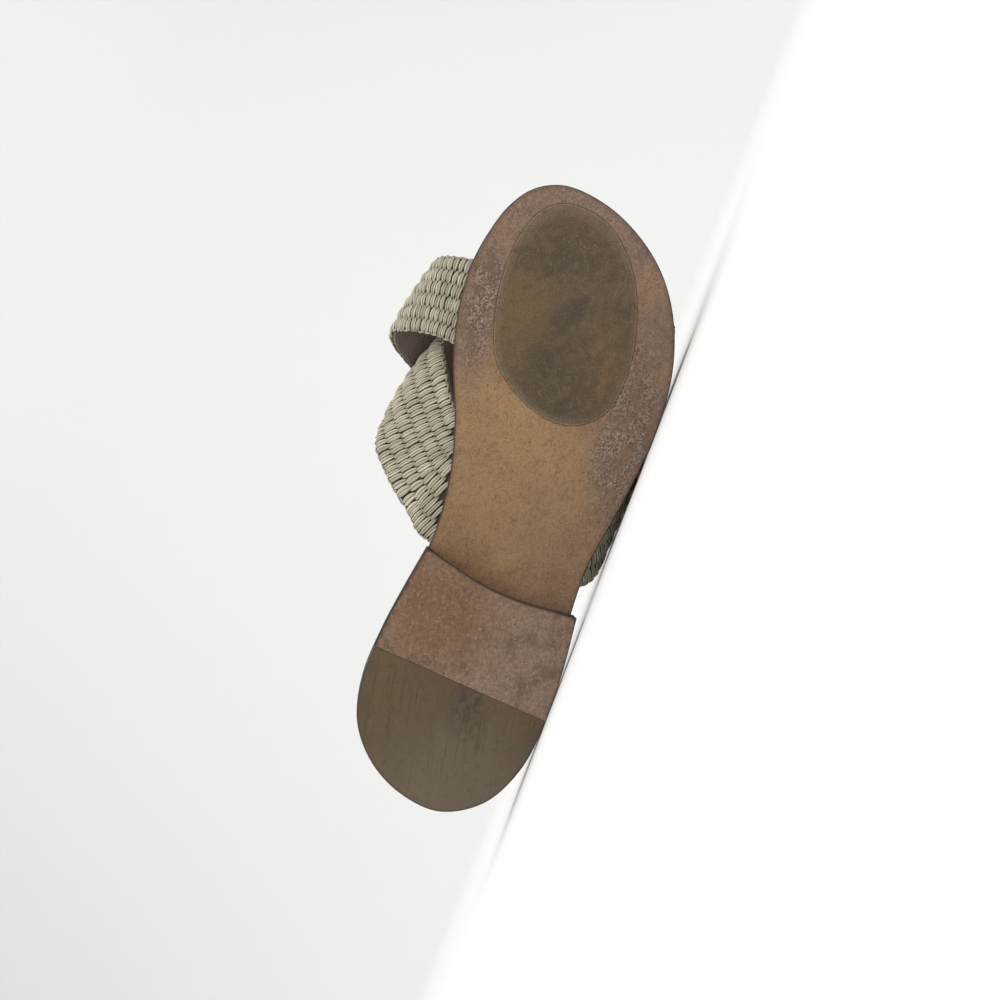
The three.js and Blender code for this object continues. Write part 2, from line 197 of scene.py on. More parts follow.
@dataclass(frozen=True)
class Lie:
    """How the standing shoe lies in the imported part: swung, leaned over and moved.

    Attributes:
        swing: Turn about the upright in degrees.
        lean: Tip of the sole beyond upright in degrees.
        offset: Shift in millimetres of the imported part's axes.
    """

    swing: float = -10.9834
    lean: float = 8.4593
    offset: Point = (-124.02801, -24.95472, 24.235)

    def turn(self) -> Array:
        """Return the rotation from the standing shoe to the part."""
        lean = Matrix.Rotation(math.radians(self.lean - 90), 3, "X")
        return np.array(lean @ Matrix.Rotation(math.radians(self.swing), 3, "Z"))

    def place(self, plan: Array) -> Array:
        """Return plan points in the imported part's metres."""
        standing = np.stack([LENGTH - plan[..., 0], -plan[..., 1], plan[..., 2]], axis=-1)
        return (standing @ self.turn().T + np.array(self.offset)) / 1000


LIE = Lie()


class Piece:
    """Helpers that turn plan points into finished pieces of the shoe."""

    @staticmethod
    def make(name: str, plan: Array, faces: Faces, sharp: float | None = None) -> Object:
        """Make a smooth mesh object that also stores its plan points, as "plan".

        Args:
            name: Name of the piece.
            plan: Its points in the shoe's plan.
            faces: Its faces as rows of point numbers.
            sharp: Angle in degrees above which edges stay sharp.

        Returns:
            The object, linked into the scene.
        """
        mesh = bpy.data.meshes.new(name)
        mesh.from_pydata(LIE.place(plan).tolist(), [], faces)
        shell = bmesh.new()
        shell.from_mesh(mesh)
        bmesh.ops.recalc_face_normals(shell, faces=shell.faces)
        shell.to_mesh(mesh)
        shell.free()
        mesh.shade_smooth()
        if sharp is not None:
            mesh.set_sharp_from_angle(angle=math.radians(sharp))
        piece = bpy.data.objects.new(name, mesh)
        bpy.context.scene.collection.objects.link(piece)
        Piece.note(piece, plan=plan)
        return piece

    @staticmethod
    def note(piece: Object, **values: Array) -> None:
        """Store values of the points, for the finishes to read by name.

        Args:
            piece: Object that gets them.
            values: One number or one row of three for each point.
        """
        for name, value in values.items():
            kind, key = ("FLOAT", "value") if value.ndim == 1 else ("FLOAT_VECTOR", "vector")
            layer = piece.data.attributes.new(name, kind, "POINT")
            layer.data.foreach_set(key, value.astype(np.float32).ravel())

    @staticmethod
    def finish(piece: Object, material: Material, slot: str, nodes: Sequence[str] = ()) -> None:
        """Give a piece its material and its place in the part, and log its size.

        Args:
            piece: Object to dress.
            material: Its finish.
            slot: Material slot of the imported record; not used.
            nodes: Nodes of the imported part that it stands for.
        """
        piece.data.materials.append(material)
        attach(piece, "root")
        if nodes:
            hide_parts(*nodes)
        triangles = sum(len(face.vertices) - 2 for face in piece.data.polygons)
        LOG.info("%s: %d triangles", piece.name, triangles)


class NodeSketch:
    """A material under construction: its colour so far, and short ways to add nodes.

    Attributes:
        material: The material.
        colour: Its colour so far.
    """

    def __init__(self, name: str, colour: Colour) -> None:
        """Start a material of one colour.

        Args:
            name: Name of the material.
            colour: Its first colour.
        """
        self.material = bpy.data.materials.new(name)
        self.material.use_nodes = True
        self.tree = self.material.node_tree
        self.shader = self.tree.nodes["Principled BSDF"]
        self.colour: Value = colour

    def link(self, source: Value, target: Socket) -> None:
        """Join a socket, or set a constant, on a target socket.

        Args:
            source: Socket or constant.
            target: Socket that receives it.
        """
        if isinstance(source, Socket):
            self.tree.links.new(source, target)
        else:
            target.default_value = source

    def add(
        self, kind: str, output: str | int, inputs: dict[str | int, Value], **settings: str
    ) -> Socket:
        """Add a node.

        Args:
            kind: Its kind.
            output: Name or number of the output that is wanted.
            inputs: Socket or constant for its inputs, by name or number.
            settings: Its settings by name.

        Returns:
            Socket of the output.
        """
        node = self.tree.nodes.new(f"ShaderNode{kind}")
        for name, setting in settings.items():
            setattr(node, name, setting)
        for key, value in inputs.items():
            self.link(value, node.inputs[key])
        return node.outputs[output]

    def stored(self, name: str, output: str = "Fac") -> Socket:
        """Read a value that is stored on the mesh: "Fac" for a number, or "Vector"."""
        return self.add("Attribute", output, {}, attribute_name=name)

    @cached_property
    def plan(self) -> Socket:
        """Return the socket with the stored plan."""
        return self.stored("plan", "Vector")

    def vector(self, operation: str, first: Socket, second: Point, output: int = 0) -> Socket:
        """Combine a vector with a constant one; output 1 is the result as one number."""
        return self.add("VectorMath", output, {0: first, 1: second}, operation=operation)

    def noise(
        self,
        scale: float,
        detail: float = 3,
        roughness: float = 0.6,
        warp: float = 0,
        at: Socket | None = None,
    ) -> Socket:
        """Add a noise of so many finer layers, read at the plan or at another vector."""
        shape = {"Scale": scale, "Detail": detail, "Roughness": roughness, "Distortion": warp}
        return self.add("TexNoise", "Fac", {"Vector": self.plan if at is None else at, **shape})

    def range(
        self, value: Value, low: float, high: float, start: float = 0, end: float = 1
    ) -> Socket:
        """Map a value smoothly from the range low to high onto the range start to end."""
        ends = {"Value": value, "From Min": low, "From Max": high, "To Min": start, "To Max": end}
        return self.add("MapRange", "Result", ends, interpolation_type="SMOOTHSTEP")

    def math(self, operation: str, first: Value, second: Value = 0.0) -> Socket:
        """Work on one number or two."""
        return self.add("Math", 0, {0: first, 1: second}, operation=operation)

    def times(self, first: Value, *others: Value) -> Value:
        """Return the product of numbers."""
        for other in others:
            first = self.math("MULTIPLY", first, other)
        return first

    def most(self, first: Value, *others: Value) -> Value:
        """Return the greatest of numbers."""
        for other in others:
            first = self.math("MAXIMUM", first, other)
        return first

    def mix(self, amount: Value, first: Value, second: Value) -> Socket:
        """Mix an amount of the second colour into the first."""
        return self.add("Mix", 2, {"Factor": amount, 6: first, 7: second}, data_type="RGBA")

    def blend(self, colour: Value, *amounts: Value) -> None:
        """Mix a colour into the one so far, by the product of some amounts."""
        self.colour = self.mix(self.times(*amounts), self.colour, colour)

    def tint(self, value: Value, *steps: tuple[Value, float, float, float]) -> None:
        """Mix colours into the one so far where a value passes a range.

        Args:
            value: The value.
            steps: Colour, where the range starts, where it ends and the amount mixed in there.
        """
        for colour, low, high, amount in steps:
            self.blend(colour, self.range(value, low, high, 0, amount))

    def oval(self, centre: Point, reach: Point, soft: float = 0.5) -> Socket:
        """Mark a soft oval on the plan.

        Args:
            centre: Distance from the toe and medial distance of its centre.
            reach: Half sizes along and across the shoe.
            soft: Share of the reach over which it fades.

        Returns:
            Socket that is one inside and zero outside.
        """
        away = self.vector("SUBTRACT", self.plan, (*centre, 0))
        flat = self.vector("MULTIPLY", away, (1 / reach[0], 1 / reach[1], 0))
        return self.range(self.vector("LENGTH", flat, (0, 0, 0), 1), 1 - soft, 1 + soft, 1, 0)

    def bump(self, height: Value, depth: float, strength: float = 1) -> None:
        """Raise the surface by a value, on top of any earlier bump.

        Args:
            height: Value to raise by.
            depth: Height of one unit in metres.
            strength: How strongly it shows.
        """
        inputs = {"Strength": strength, "Distance": depth, "Height": height}
        normal = self.shader.inputs["Normal"]
        if normal.is_linked:
            inputs["Normal"] = normal.links[0].from_socket
        self.link(self.add("Bump", 0, inputs), normal)

    def dress(self, roughness: Value, specular: float) -> Material:
        """Put the colour on the surface.

        Args:
            roughness: Roughness of the surface.
            specular: Strength of its gloss.

        Returns:
            The finished material.
        """
        self.link(self.colour, self.shader.inputs["Base Color"])
        self.link(roughness, self.shader.inputs["Roughness"])
        self.shader.inputs["Specular IOR Level"].default_value = specular
        return self.material


class Slot(Enum):
    """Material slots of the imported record."""

    SOLE = "sole_leather"
    PATCH = "patch_rubber"
    HEEL = "heel_board"
    TREAD = "heel_rubber"
    FOOTBED = "footbed_leather"
    RAFFIA = "raffia"


class Node(Enum):
    """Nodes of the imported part."""

    OUTSOLE = "outsole"
    PATCH = "forefoot_patch"
    HEEL = "heel_block"
    TREAD = "heel_top_piece"
    FOOTBED = "footbed"
    UPPER = "upper"


UNDERSIDE = Profile(
    (
        (-1, 5.2), (12, 3.1), (26, 1.4), (42, 0.4), (94, 0.4), (108, 2), (124, 6), (138, 9.6),
        (148, 11.3), (253, 11.3),
    )
)
OUTSOLE_THICKNESS = 4.0


def underside(plan: Array) -> Array:
    """Return the height of the outsole's tread side at points of the plan."""
    return UNDERSIDE(plan[..., 0])


def outsole_top(plan: Array) -> Array:
    """Return the height of the outsole's foot side at points of the plan."""
    return underside(plan) + OUTSOLE_THICKNESS


def level(height: float) -> Callable[[Array], Array]:
    """Return a face at one height."""
    return lambda plan: np.full(len(plan), float(height))


class Plan:
    """Work on outlines in the plan, as rows of distance from the toe and medial distance."""

    @staticmethod
    def loop(knots: Sequence[Point], count: int) -> Array:
        """Draw a smooth closed outline.

        Args:
            knots: Points that it passes through.
            count: Number of evenly spaced points.

        Returns:
            The outline.
        """
        dense = spline(np.array(knots, dtype=float), np.linspace(0, 1, 4001)[:-1], closed=True)
        ring = np.vstack([dense, dense[:1]])
        far = distances(ring)
        at = np.linspace(0, far[-1], count, endpoint=False)
        return np.stack([np.interp(at, far, ring[:, axis]) for axis in (0, 1)], axis=1)

    @staticmethod
    def inset(outline: Array, distance: float) -> Array:
        """Move a closed outline inwards.

        Args:
            outline: The outline.
            distance: How far it moves; outwards if below zero.

        Returns:
            The moved outline.
        """
        after = np.roll(outline, -1, axis=0)
        along = unit(after - np.roll(outline, 1, axis=0))
        area = np.sum(outline[:, 0] * after[:, 1] - after[:, 0] * outline[:, 1]) / 2
        return outline + np.stack([-along[:, 1], along[:, 0]], axis=1) * np.sign(area) * distance

    @staticmethod
    def inside(points: Array, outline: Array) -> Array:
        """Tell which points lie inside a closed outline.

        Args:
            points: Points to test.
            outline: The outline.

        Returns:
            True for each point inside.
        """
        start, end = outline[None], np.roll(outline, -1, axis=0)[None]
        x, y = points[:, None, 0], points[:, None, 1]
        spans = (start[..., 1] > y) != (end[..., 1] > y)
        rise = np.where(end[..., 1] == start[..., 1], 1, end[..., 1] - start[..., 1])
        crossing = start[..., 0] + (end[..., 0] - start[..., 0]) * (y - start[..., 1]) / rise
        return np.sum(spans & (x < crossing), axis=1) % 2 == 1

    @staticmethod
    def distance(points: Array, outline: Array) -> Array:
        """Measure how far points lie from a closed outline.

        Args:
            points: Points to measure.
            outline: The outline.

        Returns:
            The distance of each point.
        """
        along = (np.roll(outline, -1, axis=0) - outline)[None]
        away = points[:, None] - outline[None]
        part = np.sum(away * along, -1) / np.maximum(np.sum(along * along, -1), 1e-9)
        nearest = along * np.clip(part, 0, 1)[..., None]
        return np.min(np.linalg.norm(away - nearest, axis=-1), axis=1)

    @staticmethod
    def fill(loops: Sequence[Array], spacing: float) -> tuple[Array, Faces]:
        """Fill a closed outline with triangles, leaving holes free.

        Args:
            loops: The outline and then its holes.
            spacing: Distance between the points in between.

        Returns:
            The points inside, and triangles over the loops' points followed by them.
        """

        def within(points: Array) -> Array:
            """Tell which points lie in the outline and in none of its holes."""
            return sum(Plan.inside(points, loop).astype(int) for loop in loops) == 1

        low, high = loops[0].min(axis=0), loops[0].max(axis=0)
        lines = [np.arange(low[axis] + spacing / 2, high[axis], spacing) for axis in (0, 1)]
        grid = np.stack(np.meshgrid(*lines, indexing="ij"), axis=-1)
        grid[::2, :, 1] += spacing / 2
        grid = grid.reshape(-1, 2)
        room = np.min([Plan.distance(grid, loop) for loop in loops], axis=0)
        inner = grid[within(grid) & (room > spacing * 0.4)]
        points = np.vstack([*loops, inner])
        edges, start = [], 0
        for loop in loops:
            edges += [(start + i, start + (i + 1) % len(loop)) for i in range(len(loop))]
            start += len(loop)
        flat = [Vector(point) for point in points]
        _, _, triangles, origins, *_ = delaunay_2d_cdt(flat, edges, [], 0, 1e-7)
        faces = np.array([[origins[vertex][0] for vertex in face] for face in triangles])
        return inner, faces[within(points[faces].mean(axis=1))].tolist()

    @staticmethod
    def clip(outline: Array, first: Point, second: Point) -> Array:
        """Keep the part of an outline that lies to the left of a line.

        Args:
            outline: The outline.
            first: Point of the line.
            second: Point that the line heads for.

        Returns:
            The clipped outline, with points along the cut.
        """
        nearest, step = 0.45, 1.5
        heading = np.array(second) - np.array(first)

        def side(point: Array) -> float:
            """Return how far left of the line a point lies."""
            away = point - np.array(first)
            return float(heading[0] * away[1] - heading[1] * away[0])

        kept, cuts, dense = [], [], []
        for start, end in zip(outline, np.roll(outline, -1, axis=0)):
            here, there = side(start), side(end)
            if here >= 0:
                kept.append(start)
            if here * there < 0:
                cuts.append(start + (end - start) * here / (here - there))
                kept.append(cuts[-1])
        ring = np.array(
            [p for p in kept if all(p is cut or np.linalg.norm(p - cut) > nearest for cut in cuts)]
        )
        for start, end in zip(ring, np.roll(ring, -1, axis=0)):
            steps = max(1, round(float(np.linalg.norm(end - start)) / step))
            dense += [start + (end - start) * part / steps for part in range(steps)]
        return np.array(dense)


@dataclass
class Slab:
    """A flat shape with rounded edges between two faces that follow the shoe.

    Attributes:
        outline: Its outline in the plan.
        low: Height of the tread side at points of the plan.
        high: Height of the foot side at points of the plan.
        low_bevel: Radius of the edge on the tread side.
        high_bevel: Radius of the edge on the foot side.
        spacing: Distance between the points of the faces.
        recess: Outline of a recess in the tread side.
        depth: Depth of the recess.
    """

    outline: Array
    low: Callable[[Array], Array]
    high: Callable[[Array], Array]
    low_bevel: float
    high_bevel: float
    spacing: float = 2.5
    recess: Array | None = None
    depth: float = 0.0

    def build(self) -> tuple[Array, Faces]:
        """Make the points and faces.

        Returns:
            Points in the plan, and faces over them.
        """
        count = len(self.outline)
        arc = np.linspace(0, math.pi / 2, 5)
        edges = ((self.low, self.low_bevel, arc), (self.high, -self.high_bevel, arc[::-1]))
        points = []
        for face, bevel, turns in edges:
            for turn in turns:
                flat = Plan.inset(self.outline, abs(bevel) * (1 - math.sin(turn)))
                points.append(self.at(flat, face(flat) + bevel * (1 - math.cos(turn))))
        faces = tube(len(points), count, ends=False)
        used = len(points) * count

        loops, numbers = [points[0][:, :2]], list(range(count))
        inner, more = Plan.fill([points[-1][:, :2]], self.spacing)
        points.append(self.at(inner, self.high(inner)))
        faces += [[vertex + used - count for vertex in face] for face in more]
        used += len(inner)
        if self.recess is not None:
            loops.append(self.recess)
            low, size = self.low(self.recess), len(self.recess)
            points += [self.at(self.recess, height) for height in (low, low + self.depth)]
            numbers += range(used, used + size)
            faces += tube(2, size, used, ends=False)
            inner, more = Plan.fill([self.recess], self.spacing)
            points.append(self.at(inner, self.low(inner) + self.depth))
            faces += [[vertex + used + size for vertex in face] for face in more]
            used += 2 * size + len(inner)
        inner, more = Plan.fill(loops, self.spacing)
        points.append(self.at(inner, self.low(inner)))
        numbers += range(used, used + len(inner))
        faces += [[numbers[vertex] for vertex in face] for face in more]
        return np.vstack(points), faces

    @staticmethod
    def at(flat: Array, height: Array) -> Array:
        """Join plan points and their heights."""
        return np.column_stack([flat, height])


SOLE_OUTLINE = Plan.loop(
    (
        (-0.6, -5), (2.6, 7), (10.5, 15.5), (22.7, 22.2), (37, 27), (54, 28.9), (74, 27.8),
        (98, 23), (121, 21), (146, 23.3), (166, 30), (186, 37), (205, 41.1), (222, 40),
        (236, 32.4), (246.8, 19.5), (251.7, 3), (246, -13.2), (232, -25), (214, -31.6),
        (190, -35.4), (166, -37.4), (147, -40.6), (128, -46.5), (108, -52.2), (86, -57.2),
        (64, -58.9), (44, -55.6), (27, -48), (14, -36.8), (4, -22),
    ),
    560,
)
PATCH_OUTLINE = Plan.loop(
    (
        (6.4, -8), (9.6, 1.5), (21, 9.6), (38, 14), (56, 14.4), (72, 11), (84, 0.5), (91.5, -13),
        (91.6, -25.5), (84, -36), (68, -41.2), (48, -41.2), (28, -36), (12, -24.2),
    ),
    260,
)
HEEL_OUTLINE = (
    (149.4, 25.1), (166, 31.2), (184, 37.2), (204, 41.8), (221, 41.2), (236, 33.4), (247, 20.3),
    (252.3, 3), (246.4, -14), (232, -25.8), (213, -32.4), (190, -36.2), (167.4, -38.1),
)
BREAST = (
    (167.4, -38.1), (166.4, -28), (164.6, -14), (160.6, 1), (155, 14), (149.4, 25.1),
)
HEEL_LINES = ((HEEL_OUTLINE, 240), (BREAST, 60))
TREAD_LINE = ((189.6, 44.0), (210.8, -36.0))


def heel_plan() -> Array:
    """Return the outline of the heel with its curved breast."""
    back, breast = (spline(np.array(line), np.linspace(0, 1, count)) for line, count in HEEL_LINES)
    return np.vstack([back, breast[1:-1]])


@dataclass
class Sole:
    """The flat pieces under the foot: outsole, patch, heel, tread piece and footbed.

    Attributes:
        patch_proud: How far the patch stands out of the outsole.
        patch_depth: Depth of its recess.
        patch_slope: Width of the patch's sloping rim.
        patch_seam: Width of the seam around the patch.
        tread: Thickness of the heel's tread piece.
        tread_seam: Width of the seam before it.
        split: Height of the hairline between the heel's two upper lifts.
        hairline: Its width.
        heel_lift: Height of the heel.
        footbed_inset: How far the footbed stays inside the outsole.
        footbed_thickness: Its thickness.
    """

    patch_proud: float = 0.4
    patch_depth: float = 1.6
    patch_slope: float = 2.4
    patch_seam: float = 0.16
    tread: float = 5.0
    tread_seam: float = 0.1
    split: float = 8.1
    hairline: float = 0.02
    heel_lift: float = 11.0
    footbed_inset: float = 1.6
    footbed_thickness: float = 4.6

    def patch_low(self, flat: Array) -> Array:
        """Return the height of the patch's tread side, which slopes towards its rim."""
        rise = smooth(0, self.patch_slope, Plan.distance(flat, PATCH_OUTLINE))
        return underside(flat) - self.patch_proud * rise

    def patch_high(self, flat: Array) -> Array:
        """Return the height of the patch's inner side, just below the recess."""
        return underside(flat) + self.patch_depth - 0.1

    def outsole(self) -> Object:
        """Build the outsole with the recess for its patch.

        Returns:
            The outsole.
        """
        recess = Plan.inset(PATCH_OUTLINE, -self.patch_seam)
        slab = Slab(SOLE_OUTLINE, underside, outsole_top, low_bevel=0.8, high_bevel=0.6)
        slab.recess, slab.depth = recess, self.patch_depth
        return self.make("outsole_leather", [slab], SOLE_OUTLINE, PATCH_OUTLINE)

    def patch(self) -> Object:
        """Build the rubber patch of the forefoot.

        Returns:
            The patch.
        """
        faces = self.patch_low, self.patch_high
        slab = Slab(PATCH_OUTLINE, *faces, low_bevel=0.12, high_bevel=0.15, spacing=1.6)
        return self.make("forefoot_rubber", [slab], SOLE_OUTLINE, PATCH_OUTLINE)

    def heel(self) -> Object:
        """Build the heel up of lifts.

        Returns:
            The heel.
        """
        plan = heel_plan()
        front = Plan.clip(plan, TREAD_LINE[1], TREAD_LINE[0])
        lifts = (
            (front, 0.0, self.tread + 0.27, 0.16),
            (plan, self.tread + GAP, self.split, 0.2),
            (plan, self.split + self.hairline, self.heel_lift, 0.2),
        )
        slabs = [Slab(at, level(low), level(high), bevel, 0.15) for at, low, high, bevel in lifts]
        return self.make("heel_leather_board", slabs, plan, front)

    def tread_piece(self) -> Object:
        """Cut the rubber tread piece out of the heel.

        Returns:
            The tread piece.
        """
        plan = heel_plan()
        outline = Plan.clip(plan, *(np.array(point) + (self.tread_seam, 0) for point in TREAD_LINE))
        slab = Slab(outline, level(0), level(self.tread), low_bevel=0.16, high_bevel=0.2)
        return self.make("heel_rubber", [slab], plan, outline)

    def footbed(self) -> Object:
        """Build the footbed on the outsole.

        Returns:
            The footbed.
        """
        outline = Plan.inset(SOLE_OUTLINE, self.footbed_inset)
        low, high = GAP, GAP + self.footbed_thickness
        faces = [lambda flat, rise=rise: outsole_top(flat) + rise for rise in (low, high)]
        slab = Slab(outline, *faces, low_bevel=0.3, high_bevel=1.3)
        return self.make("footbed_leather", [slab], outline, outline)

    @staticmethod
    def make(name: str, slabs: list[Slab], outline: Array, inner: Array) -> Object:
        """Make a piece of slabs.

        Args:
            name: Name of the piece.
            slabs: Its slabs.
            outline: Outline that the stored "edge" is measured from.
            inner: Outline that the stored "rim" is measured from, below zero inside it.

        Returns:
            The piece.
        """
        points, faces, used = [], [], 0
        for slab in slabs:
            more, sides = slab.build()
            points.append(more)
            faces += [[vertex + used for vertex in face] for face in sides]
            used += len(more)
        plan = np.vstack(points)
        piece = Piece.make(name, plan, faces, 35)
        flat = plan[:, :2]
        rim = Plan.distance(flat, inner) * np.where(Plan.inside(flat, inner), -1, 1)
        Piece.note(piece, edge=Plan.distance(flat, outline), rim=rim)
        return piece


@dataclass(frozen=True)
class Row:
    """One place along a band, from its front selvage to its rear one.

    Attributes:
        front: Distance from the toe, medial distance and height of the front selvage.
        rear: The same of the rear selvage.
        bow: How far the middle bows out.
    """

    front: tuple[float, ...]
    rear: tuple[float, ...]
    bow: float


@dataclass
class Band:
    """A woven band over the foot, as a surface with a weave on it.

    The way runs from 0 at the medial seam to 1 at the lateral one and the share from 0 at the
    front selvage to 1 at the rear one. The run is the length along the band's middle in
    millimetres; lines of one run stand square to the middle.

    Attributes:
        name: Name of the band.
        rows: Places along it.
        seed: Seed of its irregularities.
        sheared: How far the wefts lie square in the plan near the medial seam, not in space.
        ribs: Number of ribs along it.
        pitch: Distance between neighbouring wefts.
        wall: Depth of the lining's foot side below the weave.
        settling: Way over which the ends settle onto the outsole.
        shares: Shares of the grid.
        step: Distance between its runs.
    """

    name: str
    rows: tuple[Row, ...]
    seed: int
    sheared: float = 0
    ribs: int = 6
    pitch: float = 1.15
    wall: float = 3.3
    settling: float = 0.12
    shares: Array = field(default_factory=lambda: np.linspace(-0.06, 1.06, 57))
    step: float = 0.5

    def __post_init__(self) -> None:
        """Work out the grid of the surface, by run and share."""
        self.random = np.random.default_rng(self.seed)
        ends = zip(*((row.front, row.rear) for row in self.rows))
        self.rails = [self.rail(end) for end in ends]
        dense = np.linspace(0, 1, 201)
        far = distances(spline((self.rails[0] + self.rails[1]) / 2, dense))
        self.length = far[-1]
        self.places = (far / far[-1], dense)
        ways = np.linspace(-0.02, 1.02, 521)
        points = self.ruled(ways[:, None], self.shares[None, :])
        rows = np.linspace(0, 1, len(self.rows))
        bows = np.interp(self.place(ways), rows, [row.bow for row in self.rows])
        bulge = bows[:, None] * 4 * self.shares * (1 - self.shares)
        points = points + self.outward(points) * bulge[..., None]
        runs = self.square_up(points, ways)
        surface = np.concatenate([points, self.outward(points)], axis=-1)
        self.runs = np.arange(runs.min(), runs.max() + self.step, self.step)
        self.ways = np.empty((len(self.runs), len(self.shares)))
        self.surface = np.empty((*self.ways.shape, surface.shape[-1]))
        for column, line in enumerate(runs.T):
            order = np.argsort(line)
            line = line[order]
            way = np.interp(self.runs, line, ways[order])
            past = np.clip(self.runs - line[-1], 0, None) + np.clip(self.runs - line[0], None, 0)
            self.ways[:, column] = way + past
            for axis in range(surface.shape[-1]):
                self.surface[:, column, axis] = np.interp(way, ways, surface[:, column, axis])

    @staticmethod
    def rail(ends: Sequence[Point]) -> Array:
        """Return the knots of a selvage; those without a height lie on the outsole."""
        seats = [float(outsole_top(np.array(end))) + GAP for end in ends]
        return np.array([(*end, seat)[:3] for end, seat in zip(ends, seats)])

    def place(self, ways: Array) -> Array:
        """Return the places on the rails of ways along the band."""
        return np.interp(np.clip(ways, 0, 1), *self.places)

    def ruled(self, way: Array, share: Array) -> Array:
        """Find points on the straight lines between the selvages.

        Args:
            way: Ways along the band.
            share: Shares across it.

        Returns:
            The points in the plan.
        """
        way, share = np.broadcast_arrays(way, share)
        at = self.place(way)
        front, rear = (spline(rail, at) for rail in self.rails)
        point = front + (rear - front) * share[..., None]
        for seam in (0, 1):
            front, rear = (rail[-seam] for rail in self.rails)
            foot = front + (rear - front) * share[..., None]
            settle = 1 - smooth(0, self.settling, np.abs(way - seam))
            point[..., 2] += (outsole_top(foot) + GAP - foot[..., 2]) * settle
        beyond = way - np.clip(way, 0, 1)
        first, last = (int(np.argmin(np.abs(way[:, 0] - seam))) for seam in (0, 1))
        back, forth = unit(point[first + 4] - point[first]), unit(point[last] - point[last - 4])
        point += np.where(beyond[..., None] < 0, back, forth) * (beyond * self.length)[..., None]
        return point

    @staticmethod
    def outward(points: Array) -> Array:
        """Return the direction away from the foot at each point of a grid by way and share."""
        return unit(np.cross(np.gradient(points, axis=0), np.gradient(points, axis=1)))

    def square_up(self, points: Array, ways: Array) -> Array:
        """Find the run of each point of the grid, by settling it towards its line.

        Args:
            points: Grid of points by way and share.
            ways: Ways of the grid.

        Returns:
            The run of each point.
        """
        sheared_runs, gain, margin = (26, 64), 0.7, 60
        middle = points[:, len(self.shares) // 2]
        far = distances(middle)
        far -= np.interp(0, ways, far)
        heading = np.gradient(middle, axis=0)
        for _ in range(12):
            inner = (heading[:-2] + heading[1:-1] * 2 + heading[2:]) / 4
            heading = np.vstack([heading[:1], inner, heading[-1:]])
        line = np.hstack([middle, unit(heading)])
        runs = np.repeat(far[:, None], len(self.shares), axis=1)
        for _ in range(18):
            near = np.stack([np.interp(runs, far, column) for column in line.T], axis=-1)
            along = near[..., 3:]
            here = near[..., :3] + along * (runs - np.clip(runs, far[0], far[-1]))[..., None]
            height = 1 - self.sheared * (1 - smooth(*sheared_runs, runs))
            weight = np.stack([np.ones_like(runs), np.ones_like(runs), height], axis=-1)
            ahead = np.sum((points - here) * along * weight, axis=-1)
            runs = runs + gain * ahead / np.sum(weight * along**2, axis=-1)
            runs = np.clip(runs, -margin, far[-1] + margin)
        return runs

    def look(self, table: Array, run: Array, share: Array) -> Array:
        """Look a table of the grid up.

        Args:
            table: Table by run and share.
            run: Runs along the band.
            share: Shares across it.

        Returns:
            The value at each run and share.
        """
        width = self.shares[1] - self.shares[0]
        row = np.clip((run - self.runs[0]) / self.step, 0, len(self.runs) - 1.001)
        column = np.clip((share - self.shares[0]) / width, 0, len(self.shares) - 1.001)
        i, j = row.astype(int), column.astype(int)
        a, b = row - i, column - j
        if table.ndim > 2:
            a, b = a[..., None], b[..., None]
        near = table[i, j] * (1 - b) + table[i, j + 1] * b
        return near * (1 - a) + (table[i + 1, j] * (1 - b) + table[i + 1, j + 1] * b) * a

    def point(self, run: Array, share: Array, depth: Array) -> Array:
        """Return plan points at runs, shares and depths below the outside of the weave."""
        near = self.look(self.surface, run, share)
        return near[..., :3] - near[..., 3:] * depth[..., None]


def bundle(
    name: str, plan: Array, tones: Sequence[float], strand: Array, depth: Array
) -> Object:
    """Make a piece of closed tubes, with the values that the raffia's finish reads.

    Args:
        name: Name of the piece.
        plan: Plan points by tube, ring and side.
        tones: Tone of each tube.
        strand: Place of each side across its tube, from -1 to 1.
        depth: Depth of the points below the weave, which the raffia's finish turns into painted
            shade.

    Returns:
        The piece.
    """
    count, rings, sides = plan.shape[:3]
    faces = [face for k in range(count) for face in tube(rings, sides, k * rings * sides)]
    piece = Piece.make(name, plan.reshape(-1, 3), faces)
    tone, reach = np.reshape(tones, (-1, 1, 1)), np.linspace(-1, 1, rings)[:, None]
    values = {"tone": tone, "strand": strand, "reach": reach, "depth": depth}
    for key, value in values.items():
        Piece.note(piece, **{key: np.broadcast_to(value, plan.shape[:3]).ravel()})
    return piece


